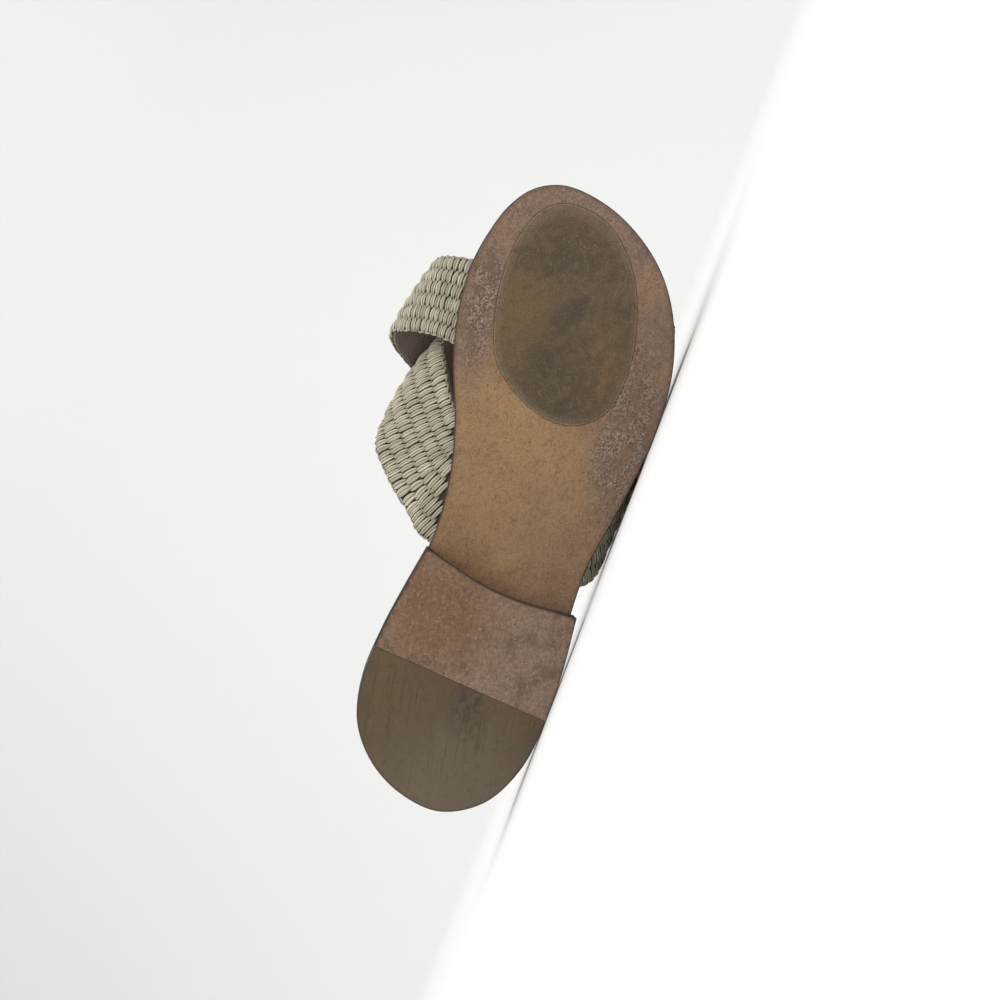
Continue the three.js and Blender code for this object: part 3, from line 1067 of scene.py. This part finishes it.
@dataclass
class Weave:
    """The woven face of a band: short bundles of raffia that pass over one rib each.

    Attributes:
        band: The band it lies on.
        reach: Half length of a bundle in ribs.
        thickness: Thickness of a bundle.
        wave: How far a bundle dips at its ends.
        narrow: Half width at the ends.
        wide: Half width in the middle.
        taper: How much narrower it is where it meets the next rib.
        twist: How far a bundle turns aside over one rib.
        tuck: How far it dips for each rib that it reaches past a selvage.
        spread: Spread of its width, thickness, depth, place across, place along and twist.
        rings: Number of rings along a bundle.
        section: Its section, with the parting of its two strands.
    """

    band: Band
    reach: float = 0.64
    thickness: float = 0.9
    wave: float = 0.8
    narrow: float = 0.44
    wide: float = 1.13
    taper: float = 0.48
    twist: float = 0.3
    tuck: float = 3.2
    spread: Point = (0.05, 0.06, 0.06, 0.02, 0.08, 0.15)
    rings: int = 11
    section: tuple[tuple[float, float], ...] = (
        (-1.0, -0.18), (-0.76, 0.36), (-0.34, 0.44), (0.0, -0.02), (0.34, 0.44), (0.76, 0.36),
        (1.0, -0.18), (0.6, -0.5), (0.0, -0.5), (-0.6, -0.5),
    )

    def build(self) -> Object:
        """Build the bundles of the whole band.

        Returns:
            The bundles as one piece.
        """
        band, past_seam, past_selvage = self.band, 0.004, 0.012
        wefts = np.arange(int(band.runs[0] / band.pitch), int(band.runs[-1] / band.pitch) + 1)
        weft, rib = np.meshgrid(wefts, np.arange(band.ribs), indexing="ij")
        way = band.look(band.ways, weft * band.pitch, (rib + 0.5) / band.ribs)
        keep = ((weft + rib) % 2 == 0) & (way > -past_seam) & (way < 1 + past_seam)
        weft, rib = weft[keep][:, None], rib[keep][:, None]
        vary = band.random.normal(0, 1, (6, len(weft), 1)) * np.reshape(self.spread, (6, 1, 1))
        wider, thicker, deeper, aside, ahead, turned = vary
        tones = band.random.random(len(weft))

        across = np.linspace(-1, 1, self.rings) * self.reach
        swell = np.sqrt(np.clip(1 - (across / self.reach) ** 2, 0, 1))
        width = np.maximum(self.wide - self.taper * np.abs(2 * across) ** 3, self.narrow)
        width = width * (1 + wider)
        high = self.thickness * (0.72 + 0.28 * swell) * (1 + thicker)
        sink = self.thickness / 2 + self.wave * (1 - np.cos(math.pi * across)) + deeper
        share = (rib + 0.5 + across + aside) / band.ribs
        past = np.maximum(np.maximum(-share, share - 1), 0) * band.ribs
        sink = sink + past * self.tuck
        share = np.clip(share, -past_selvage, 1 + past_selvage)
        run = weft * band.pitch + ahead + across * (self.twist + turned)

        strand, relief = np.array(self.section).T
        side = run[..., None] + width[..., None] * strand
        depth = sink[..., None] - high[..., None] * relief
        plan = band.point(side, np.broadcast_to(share[..., None], side.shape), depth)
        return bundle(f"weave_{band.name}", plan, tones, strand, depth)


@dataclass
class Selvages:
    """The turns of the wefts along both selvages of a band.

    Attributes:
        band: The band they belong to.
        spacing: Distance between neighbouring turns in wefts.
        radius: Radius of a turn's strand.
        bulge: How far a turn stands out of the selvage.
        inset: How far inside the selvage a turn's ends lie.
        depth: Depth of its upper end below the weave.
        drop: How far its lower end lies deeper.
        lap: Half length of a turn, as a share of the spacing.
        rings: Number of rings along a turn.
        sides: Number of points around it.
    """

    band: Band
    spacing: int = 3
    radius: float = 0.45
    bulge: float = 0.6
    inset: float = 0.55
    depth: float = 0.55
    drop: float = 1.5
    lap: float = 0.62
    rings: int = 10
    sides: int = 7

    def build(self) -> Object:
        """Build the turns of both selvages.

        Returns:
            The turns as one piece.
        """
        band = self.band
        plans, tones = [], []
        for edge in (0.0, 1.0):
            runs = np.arange(band.runs[0], band.runs[-1], band.pitch * self.spacing)
            way = band.look(band.ways, runs, np.full(len(runs), edge))
            for run in runs[(way > -0.002) & (way < 1.002)]:
                plans.append(self.turn(run + band.random.normal(0, 0.15), edge))
                tones.append(band.random.random())
        strand = np.linspace(-1, 1, self.sides)
        return bundle(f"selvages_{band.name}", np.array(plans), tones, strand, np.array(0.5))

    def turn(self, run: float, edge: float) -> Array:
        """Build one turn.

        Args:
            run: Run of its middle.
            edge: Share of the selvage.

        Returns:
            Its points in the plan, by ring and side.
        """
        band = self.band
        lean = 1 + 0.12 * float(band.random.normal())
        turn = np.linspace(-1, 1, self.rings)
        runs = run + turn * band.pitch * self.spacing * self.lap
        depth = self.depth + self.drop * (turn * 0.5 + 0.5) * lean
        inward = 0.03 * (1 - 2 * edge)
        shares = np.full(self.rings, edge)
        base, inner = (band.point(runs, shares + by, depth) for by in (0, inward))
        away = unit(base - inner)
        out = self.bulge * (1 - np.abs(turn) ** 2.4) * lean - self.inset
        centre = base + away * out[:, None]
        along = unit(np.gradient(centre, axis=0))
        first = unit(np.cross(along, away))
        second = np.cross(first, along)
        angle = np.arange(self.sides)[:, None] * 2 * math.pi / self.sides
        ring = first[:, None] * np.cos(angle) + second[:, None] * np.sin(angle)
        thick = self.radius * (0.75 + 0.25 * (1 - turn**2)) * lean
        return centre[:, None] + ring * thick[:, None, None]


@dataclass
class Lining:
    """The backing of a band: the closed cloth body under its weave, whose outer face shows as
    painted shade in the slits between the bundles.

    Attributes:
        band: The band it lines.
        face: Depth of its outer face below the weave.
        width: Width of the band that the cloth's threads are spaced for.
        stations: Number of rows along the band.
        columns: Number of points across it.
    """

    band: Band
    face: float = 1.75
    width: float = 34
    stations: int = 260
    columns: int = 31

    def build(self) -> Object:
        """Build the lining as rows of points around it.

        Returns:
            The lining.
        """
        band, last = self.band, (self.stations - 1) * 2 * self.columns
        ways = np.linspace(-0.01, 1.01, self.stations)
        shares = np.linspace(0.004, 0.996, self.columns)
        lines = [band.look(band.ways, band.runs, np.full(len(band.runs), at)) for at in shares]
        runs = np.stack([np.interp(ways, line, band.runs) for line in lines], axis=1)
        runs = np.hstack([runs, runs[:, ::-1]])
        share = np.broadcast_to(np.hstack([shares, shares[::-1]]), runs.shape)
        depth = np.broadcast_to(np.repeat([self.face, band.wall], self.columns), runs.shape)
        faces = tube(self.stations, 2 * self.columns, ends=False)
        for i in range(self.columns - 1):
            back = 2 * self.columns - 1 - i
            faces.append([i + 1, i, back, back - 1])
            faces.append([last + i, last + i + 1, last + back - 1, last + back])
        plan = band.point(runs, share, depth).reshape(-1, 3)
        piece = Piece.make(f"lining_{band.name}", plan, faces, 50)
        cloth = np.stack([runs, share * self.width, 0 * runs], axis=-1)
        Piece.note(piece, depth=depth.ravel(), cloth=cloth.reshape(-1, 3))
        return piece


@dataclass(frozen=True)
class SoleLeather:
    """Worn vegetable-tanned sole leather, scuffed at the ball and dark along its edge."""

    tan: Colour = srgb(132, 102, 73)
    ochre: Colour = srgb(154, 123, 87)
    plum: Colour = srgb(112, 94, 87)
    grey: Colour = srgb(158, 142, 132)
    soot: Colour = srgb(70, 55, 46)
    rim: Colour = srgb(58, 38, 32)

    def build(self) -> Material:
        """Build the material.

        Returns:
            The material.
        """
        sketch = NodeSketch("sole leather", self.tan)
        sketch.tint(sketch.noise(0.04, 4), (self.ochre, 0.35, 0.66, 1))
        sketch.blend(self.ochre, sketch.oval((116, -12), (40, 26), 0.7), 0.55)
        toe = sketch.oval((6, -10), (36, 62))
        side = sketch.oval((78, -56), (66, 24), 0.6)
        ball = sketch.oval((44, 22), (34, 12), 0.6)
        heel = sketch.times(sketch.oval((146, -30), (30, 18), 0.8), 0.45)
        haze = sketch.range(sketch.noise(0.07, 4), 0.25, 0.6, 0.6, 1)
        sketch.blend(self.plum, sketch.most(toe, side, ball, heel), haze, 0.8)
        mottle = sketch.noise(0.16, 5, 0.65)
        sketch.tint(mottle, (self.soot, 0.5, 0.68, 0.3), (self.ochre, 0.47, 0.32, 0.35))
        scuff = sketch.most(sketch.oval((92, -44), (36, 11)), sketch.oval((52, 20), (26, 7)))
        rubbed = sketch.range(sketch.noise(0.12, 3, 0.65), 0.36, 0.56)
        area = sketch.times(sketch.most(scuff, sketch.times(toe, 0.35)), rubbed)
        sketch.blend(self.soot, scuff, 0.35)
        fleck = sketch.noise(1.15, 3, 0.8)
        sketch.blend(self.grey, area, sketch.range(fleck, 0.5, 0.58, 0, 0.9))
        sketch.blend(self.soot, area, sketch.range(fleck, 0.49, 0.4, 0, 0.9))
        pore = sketch.noise(1.7, 3, 0.7)
        sketch.tint(pore, (self.soot, 0.52, 0.64, 0.6), (self.ochre, 0.47, 0.36, 0.55))
        drawn = sketch.vector("MULTIPLY", sketch.plan, (0.7, 1, 1))
        grain = sketch.noise(0.55, 4, 0.7, at=drawn)
        sketch.tint(grain, (self.soot, 0.52, 0.66, 0.3), (self.ochre, 0.47, 0.34, 0.25))
        edge = sketch.stored("edge")
        wander = sketch.math("ADD", edge, sketch.range(sketch.noise(0.25), 0.3, 0.7, -0.5, 0.3))
        sketch.tint(wander, (self.rim, 2.2, 0.5, 0.25))
        sketch.tint(edge, (self.rim, 0.6, 0.3, 1))
        sketch.tint(sketch.stored("rim"), (self.rim, 0.9, 0.3, 0.2))
        sketch.bump(sketch.noise(1.6, 4, 0.7), 0.00008, 0.6)
        sketch.bump(sketch.noise(0.05, 2, 0.5), 0.002, 0.25)
        sketch.bump(sketch.times(fleck, area), 0.00016, 0.7)
        return sketch.dress(sketch.range(fleck, 0.3, 0.7, 0.6, 0.75), 0.3)


@dataclass(frozen=True)
class PatchRubber:
    """Worn dark rubber with ochre smudges and a paler sloping rim."""

    base: Colour = srgb(89, 73, 53)
    dark: Colour = srgb(66, 54, 40)
    ochre: Colour = srgb(106, 85, 52)
    slope: Colour = srgb(106, 89, 68)
    line: Colour = srgb(150, 127, 98)

    def build(self) -> Material:
        """Build the material.

        Returns:
            The material.
        """
        sketch = NodeSketch("patch rubber", self.dark)
        cloud = sketch.noise(0.07, 5, 0.65)
        sketch.tint(cloud, (self.base, 0.36, 0.56, 1))
        left, right = sketch.oval((56, 5), (20, 9), 0.8), sketch.oval((66, -30), (14, 12), 0.8)
        sketch.blend(self.ochre, sketch.most(left, right), 0.75)
        rear, front = sketch.oval((76, -16), (22, 22), 0.8), sketch.oval((24, -8), (9, 14), 0.8)
        stain = sketch.range(sketch.noise(0.2, 5, 0.7), 0.36, 0.56)
        sketch.blend(self.dark, sketch.most(rear, front), stain, 0.75)
        rim = sketch.stored("rim")
        toe = sketch.oval((10, -12), (20, 34), 0.6)
        sketch.tint(rim, (self.slope, -3.0, -1.6, 0.5))
        sketch.blend(self.slope, toe, sketch.range(rim, -6, -3, 0, 0.55))
        sketch.tint(rim, (self.line, -0.6, -0.3, 0.5))
        mottle = sketch.noise(0.3, 5, 0.7)
        sketch.tint(mottle, (self.dark, 0.52, 0.66, 0.55), (self.slope, 0.47, 0.32, 0.45))
        fleck = sketch.noise(1.6, 3, 0.75)
        sketch.tint(fleck, (self.dark, 0.53, 0.66, 0.5), (self.line, 0.46, 0.34, 0.3))
        sketch.bump(sketch.noise(1.2, 4, 0.7), 0.00007, 0.6)
        sketch.bump(cloud, 0.0008, 0.3)
        return sketch.dress(sketch.range(cloud, 0.3, 0.7, 0.5, 0.66), 0.35)


@dataclass(frozen=True)
class HeelBoard:
    """Rough fibrous leather-board."""

    base: Colour = srgb(132, 110, 93)
    rust: Colour = srgb(114, 82, 55)
    plum: Colour = srgb(94, 77, 66)
    pale: Colour = srgb(168, 145, 126)
    rim: Colour = srgb(48, 38, 34)

    def build(self) -> Material:
        """Build the material.

        Returns:
            The material.
        """
        sketch = NodeSketch("heel board", self.plum)
        fibre = sketch.noise(0.5, 4, 0.7)
        sketch.tint(sketch.noise(0.08, 4, 0.65), (self.base, 0.28, 0.56, 1))
        sketch.blend(self.rust, sketch.oval((172, 18), (22, 22), 0.8), 0.75)
        sketch.tint(fibre, (self.pale, 0.52, 0.66, 0.3), (self.plum, 0.48, 0.36, 0.5))
        speck = sketch.noise(1.3, 3, 0.75)
        sketch.tint(speck, (self.rim, 0.55, 0.64, 0.6))
        hairs = []
        for scale, warp in ((0.42, 1.6), (0.6, 2.2)):
            lines = sketch.math("SUBTRACT", sketch.noise(scale, 1, 0.5, warp), 0.5)
            hairs.append(sketch.range(sketch.math("ABSOLUTE", lines), 0.02, 0.004, 0, 0.7))
        hair = sketch.most(*hairs)
        sketch.blend(self.pale, hair, sketch.range(sketch.noise(0.8, 2), 0.42, 0.56))
        edge = sketch.stored("edge")
        wander = sketch.math("ADD", edge, sketch.range(sketch.noise(0.5), 0.3, 0.7, -0.5, 0.5))
        breast = sketch.times(sketch.oval((159, -7), (13, 32), 0.25), 0.9)
        dark = sketch.mix(breast, self.rim, self.plum)
        sketch.tint(wander, (dark, 1.3, 0.3, 0.4))
        sketch.tint(edge, (dark, 0.24, 0.1, 1))
        sketch.bump(fibre, 0.0004, 0.8)
        sketch.bump(hair, 0.0001, 0.6)
        sketch.bump(speck, 0.00012, 0.6)
        return sketch.dress(0.85, 0.2)


@dataclass(frozen=True)
class HeelRubber:
    """Worn heel rubber with lengthwise scratches."""

    base: Colour = srgb(80, 65, 48)
    dark: Colour = srgb(60, 49, 38)
    olive: Colour = srgb(88, 72, 47)
    pale: Colour = srgb(104, 92, 76)
    rim: Colour = srgb(50, 41, 36)

    def build(self) -> Material:
        """Build the material.

        Returns:
            The material.
        """
        sketch = NodeSketch("heel rubber", self.base)
        sketch.tint(sketch.noise(0.05, 4), (self.olive, 0.38, 0.6, 1))
        sketch.blend(self.pale, sketch.oval((244, -6), (26, 34), 0.7), 0.6)
        drawn = sketch.vector("MULTIPLY", sketch.plan, (0.05, 1.0, 1))
        streak = sketch.range(sketch.noise(0.5, at=drawn), 0.52, 0.64)
        broken = sketch.range(sketch.noise(0.05, 4, 0.7), 0.42, 0.6)
        scratch = sketch.times(broken, streak)
        sketch.blend(self.dark, scratch, 0.34)
        stain = sketch.range(sketch.noise(0.3, 4, 0.7), 0.4, 0.6)
        sketch.blend(self.rim, sketch.oval((206, -2), (13, 5), 0.9), stain, 0.7)
        mottle = sketch.noise(0.3, 5, 0.7)
        sketch.tint(mottle, (self.dark, 0.54, 0.7, 0.35), (self.pale, 0.45, 0.3, 0.25))
        fleck = sketch.noise(1.6, 3, 0.75)
        sketch.tint(fleck, (self.dark, 0.55, 0.68, 0.4), (self.pale, 0.45, 0.34, 0.25))
        sketch.tint(sketch.stored("edge"), (self.rim, 1.2, 0.2, 0.55))
        sketch.bump(sketch.noise(1.1, 4, 0.7), 0.00008, 0.6)
        sketch.bump(scratch, -0.0002, 0.5)
        return sketch.dress(sketch.range(mottle, 0.3, 0.7, 0.52, 0.7), 0.35)


@dataclass(frozen=True)
class FootbedLeather:
    """Plain smooth leather with a fine grain."""

    base: Colour = srgb(158, 124, 88)
    dark: Colour = srgb(122, 92, 64)

    def build(self) -> Material:
        """Build the material.

        Returns:
            The material.
        """
        sketch = NodeSketch("footbed leather", self.base)
        cloud = sketch.noise(0.04, 4, 0.6, 0.5)
        grain = sketch.add("TexVoronoi", "Distance", {"Vector": sketch.plan, "Scale": 1.6})
        sketch.tint(cloud, (self.dark, 0.35, 0.7, 0.5))
        sketch.tint(grain, (self.dark, 0.5, 0.9, 0.35))
        sketch.tint(sketch.stored("edge"), (self.dark, 1.6, 0.3, 0.6))
        sketch.bump(grain, 0.00008, 0.6)
        sketch.bump(cloud, 0.0008, 0.3)
        return sketch.dress(0.55, 0.4)


@dataclass(frozen=True)
class Raffia:
    """Dry natural raffia, each bundle with its own tone and fine strands, with painted shade in the
    parting between its two strands, along its sides and on the ends that dip under the next rib.
    """

    pale: Colour = srgb(204, 196, 173)
    mid: Colour = srgb(171, 165, 144)
    dull: Colour = srgb(138, 133, 115)
    # Painted shade for the grooves and the dipping ends of the bundles.
    painted_shade: Colour = srgb(56, 48, 35)

    def build(self) -> Material:
        """Build the material.

        Returns:
            The material.
        """
        sketch = NodeSketch("raffia", self.dull)
        strand = sketch.stored("strand")
        second = sketch.times(sketch.math("GREATER_THAN", strand), 0.37)
        tone = sketch.math("FRACT", sketch.math("ADD", sketch.stored("tone"), second))
        sketch.blend(self.mid, sketch.range(tone, 0, 0.4, 0.35, 1))
        sketch.tint(tone, (self.pale, 0.5, 1, 0.6))
        sketch.tint(sketch.noise(0.06), (self.dull, 0.45, 0.75, 0.4))
        along = sketch.times(sketch.stored("reach"), 0.4)
        place = {0: sketch.times(strand, 3.2), 1: sketch.times(tone, 71), 2: along}
        fibre = sketch.noise(1.3, 3, 0.65, at=sketch.add("CombineXYZ", 0, place))
        groove = sketch.math("ABSOLUTE", strand)
        # Painted shade: dark in the parting between the two strands and along the sides where the
        # bundles meet.
        sketch.tint(groove, (self.painted_shade, 0.26, 0.04, 0.8), (self.painted_shade, 0.74, 0.98, 0.9))
        sketch.tint(fibre, (self.dull, 0.52, 0.64, 0.55), (self.pale, 0.46, 0.34, 0.6))
        # Painted shade: the deeper a point lies below the weave, the darker it is painted, as in
        # the shaded hollows where the bundles dive under the next rib.
        sketch.tint(sketch.stored("depth"), (self.painted_shade, 0.75, 1.5, 0.7))
        sketch.bump(fibre, 0.00018, 0.8)
        sketch.bump(sketch.noise(1.4), 0.0001, 0.4)
        return sketch.dress(sketch.range(fibre, 0.3, 0.7, 0.55, 0.75), 0.35)


@dataclass(frozen=True)
class LiningCloth:
    """Dark textile lining, with painted shade on its outer face, which shows in the slits between
    the bundles of the weave.

    Attributes:
        cloth: Colour of the foot side.
        thread: Colour of its raised threads.
        back: Colour of the outer face: painted shade that stands in for the shadowed raffia under
            the weave.
        face: Depth of the outer face.
        foot: Depth from which the foot side's colour shows.
        turns: Angle of the thread's wave over a millimetre.
    """

    cloth: Colour = srgb(118, 107, 98)
    thread: Colour = srgb(166, 153, 138)
    back: Colour = srgb(74, 64, 48)
    face: float = 1.9
    foot: float = 2.4
    turns: float = 5.2

    def build(self) -> Material:
        """Build the material.

        Returns:
            The material.
        """
        sketch = NodeSketch("lining cloth", self.cloth)
        flat = sketch.stored("cloth", "Vector")
        axes = [sketch.add("SeparateXYZ", axis, {0: flat}) for axis in (0, 1)]
        waves = [sketch.math("SINE", sketch.times(axis, self.turns)) for axis in axes]
        weave = sketch.times(*(sketch.range(wave, -1, 1) for wave in waves))
        sketch.tint(weave, (self.thread, 0.3, 0.9, 0.5))
        sketch.tint(sketch.noise(0.1, at=flat), (self.cloth, 0.4, 0.7, 0.4))
        # Painted shade: the outer face, seen in the slits of the weave, gets the dark back colour.
        sketch.tint(sketch.stored("depth"), (self.back, self.foot, self.face, 1))
        sketch.bump(weave, 0.0002, 0.7)
        return sketch.dress(0.9, 0.2)


OVER_BAND = (
    Row((34.5, 25.2), (68.3, 27.2), 0),
    Row((34.2, 31.4, 8.4), (66.3, 35.2, 8.6), 0.3),
    Row((34.1, 36.8, 12.4), (65.6, 42.2, 12.6), 0.6),
    Row((34.4, 40.2, 17.6), (65.8, 49, 17.2), 1),
    Row((35.6, 40.4, 24), (66.8, 54.4, 24), 1.4),
    Row((38.8, 38.4, 30.4), (71.4, 52.8, 31.4), 1.4),
    Row((43.2, 33.6, 36.6), (77, 46.4, 39.6), 1.2),
    Row((49.2, 24.6, 43.4), (85, 34, 49.6), 1),
    Row((56, 11.8, 50.2), (95, 18, 56.8), 1),
    Row((63.8, -4.2, 54.4), (104.9, 0.1, 61), 1),
    Row((70.6, -20, 55.8), (112.8, -17.6, 61.4), 1),
    Row((77, -38, 52), (120.7, -36, 57.2), 1),
    Row((82.6, -50.5, 44.4), (129.6, -47.4, 48), 1),
    Row((87.6, -57.2, 31), (138, -50.4, 36.5), 0.6),
    Row((93.4, -57.9, 21.6), (146.6, -48.9, 27.6), 0.4),
    Row((100.6, -56.4, 13.4), (153.4, -45.6, 21.4), 0.2),
    Row((109.4, -49), (158.4, -35.6), 0),
)
UNDER_BAND = (
    Row((96.6, 22), (148.6, 22.9), 0),
    Row((91.6, 25.4, 7.4), (145.6, 29.4, 18.4), 0.6),
    Row((85.4, 28.2, 10.6), (138, 35.6, 23.6), 1.4),
    Row((78.4, 30.4, 14.6), (129.6, 43, 29.4), 2.2),
    Row((72.4, 32.2, 18.4), (121.6, 48.6, 33.8), 2.8),
    Row((67, 33.6, 23.6), (115, 52.4, 38.6), 3),
    Row((63.4, 33.2, 29.4), (109, 52.3, 43), 2.8),
    Row((60.4, 29.6, 35), (103.8, 46, 47.4), 2.2),
    Row((57.6, 22, 40.6), (98.8, 34, 51.4), 1.4),
    Row((55.2, 9.6, 46), (94.2, 16.4, 54.6), 1),
    Row((53.3, -5, 49.5), (90.4, -3.2, 56), 1),
    Row((51.2, -24, 48.8), (87, -23, 54.6), 1),
    Row((49.3, -42.1, 42.8), (84, -41.2, 48.7), 1),
    Row((47.2, -54, 33), (81.4, -54.4, 38.6), 0.8),
    Row((45.8, -59.6, 22.6), (79.8, -60, 27), 0.6),
    Row((45.2, -59, 13), (78.8, -60.6, 17), 0.3),
    Row((45, -53), (77.6, -56), 0),
)


@dataclass
class Studio:
    """Pale sweep, soft light and the camera.

    Attributes:
        toe: Plan point at the toe end of the picture's axis.
        heel: Plan point at its heel end.
        azimuth: Turn of the camera about the shoe in degrees.
        elevation: Angle of the camera above the shoe in degrees.
        distance: Distance of the camera in metres.
        roll: Lean of the toe to the right of the picture in degrees.
        lens: Focal length for a 36 mm sensor.
        white: Colour of the floor.
        glow: Strength of the light from all around.
        aim: Point that the lights face.
        lamps: Name, place, size and power of each light.
    """

    toe: Point = (0, 0, 4.5)
    heel: Point = (252, 0, 0)
    azimuth: float = 1.6
    elevation: float = -3.0
    distance: float = 0.62
    roll: float = 9.76
    lens: float = 56.4
    white: Colour = srgb(228, 228, 227)
    glow: float = 0.5
    aim: Point = (0, 0, 0.05)
    lamps: tuple[tuple[str, Point, float, float], ...] = (
        ("key light", (-0.25, -1.1, 1.15), 1.5, 11.0),
        ("top light", (0.1, 0.15, 1.5), 1.8, 13.0),
        ("side light", (1.3, -0.6, 0.7), 1.2, 5.0),
        ("fill light", (-1.3, -0.7, 0.6), 1.2, 3.0),
    )

    @staticmethod
    def add(name: str, data: bpy.types.ID) -> Object:
        """Link an object into the scene.

        Args:
            name: Its name.
            data: Its mesh, lamp or camera.

        Returns:
            The object.
        """
        thing = bpy.data.objects.new(name, data)
        bpy.context.scene.collection.objects.link(thing)
        return thing

    def sweep(self) -> None:
        """Build the floor with a wall that rises softly behind it."""
        near, far, top, radius, half = -1.6, 1.3, 2.4, 0.7, 3.0
        profile = [(near, 0.0), (far - radius, 0.0)]
        for turn in np.linspace(0, math.pi / 2, 17)[1:]:
            y = far - radius + radius * math.sin(turn)
            profile.append((y, radius * (1 - math.cos(turn))))
        profile.append((far, top))
        points = [(x, y, z) for y, z in profile for x in (-half, half)]
        faces = [(2 * i, 2 * i + 1, 2 * i + 3, 2 * i + 2) for i in range(len(profile) - 1)]
        mesh = bpy.data.meshes.new("floor")
        mesh.from_pydata(points, [], faces)
        mesh.shade_smooth()
        mesh.materials.append(NodeSketch("floor paper", self.white).dress(0.9, 0.1))
        floor = self.add("floor", mesh)

    def lights(self) -> None:
        """Build the soft lights and the surrounding glow."""
        for name, place, size, power in self.lamps:
            lamp = bpy.data.lights.new(name, "AREA")
            lamp.shape = "DISK"
            lamp.size = size
            lamp.energy = power
            holder = self.add(name, lamp)
            holder.location = place
            ray = Vector(self.aim) - Vector(place)
            holder.rotation_euler = ray.to_track_quat("-Z", "Y").to_euler()
        world = bpy.data.worlds.new("studio")
        world.use_nodes = True
        background = world.node_tree.nodes["Background"]
        background.inputs["Color"].default_value = (1, 1, 1, 1)
        background.inputs["Strength"].default_value = self.glow
        bpy.context.scene.world = world
        bpy.context.scene.view_settings.view_transform = "Standard"

    def camera(self) -> None:
        """Place the camera at the photograph's angle to the shoe."""
        toe, heel = (Vector(LIE.place(np.array(end, dtype=float))) for end in (self.toe, self.heel))
        turn, rise = math.radians(self.azimuth), math.radians(self.elevation)
        away = Vector((math.sin(turn), -math.cos(turn) * math.cos(rise), math.sin(rise)))
        middle = (toe + heel) / 2
        place = middle + away * self.distance
        forward = (middle - place).normalized()
        axis = (toe - heel) - forward * (toe - heel).dot(forward)
        axis.normalize()
        lean = math.radians(self.roll)
        up = axis * math.cos(lean) - forward.cross(axis) * math.sin(lean)
        lens = bpy.data.cameras.new("camera")
        lens.lens = self.lens
        lens.sensor_width = 36
        lens.clip_start = 0.002
        lens.dof.use_dof = False
        camera = self.add("camera", lens)
        turn_to = Matrix((forward.cross(up), up, -forward)).transposed().to_4x4()
        camera.matrix_world = Matrix.Translation(place) @ turn_to
        bpy.context.scene.camera = camera

    def build(self) -> None:
        """Build the whole studio."""
        self.sweep()
        self.lights()
        self.camera()


def main() -> None:
    """Build the slide in order, from the sole to the bands, and then the studio."""
    logging.basicConfig(level=logging.INFO, format="%(message)s")
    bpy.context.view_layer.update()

    sole = Sole()
    parts = (
        (sole.outsole(), SoleLeather(), Slot.SOLE, Node.OUTSOLE),
        (sole.patch(), PatchRubber(), Slot.PATCH, Node.PATCH),
        (sole.heel(), HeelBoard(), Slot.HEEL, Node.HEEL),
        (sole.tread_piece(), HeelRubber(), Slot.TREAD, Node.TREAD),
        (sole.footbed(), FootbedLeather(), Slot.FOOTBED, Node.FOOTBED),
    )
    for piece, finish, slot, node in parts:
        Piece.finish(piece, finish.build(), slot.value, [node.value])

    raffia, cloth = Raffia().build(), LiningCloth().build()
    nodes = [Node.UPPER.value]
    for band in (Band("over", OVER_BAND, 11), Band("under", UNDER_BAND, 23, 0.55)):
        for kind, material in ((Weave, raffia), (Selvages, raffia), (Lining, cloth)):
            Piece.finish(kind(band).build(), material, Slot.RAFFIA.value, nodes)
            nodes = []

    Studio().build()


if __name__ == "__main__":
    main()
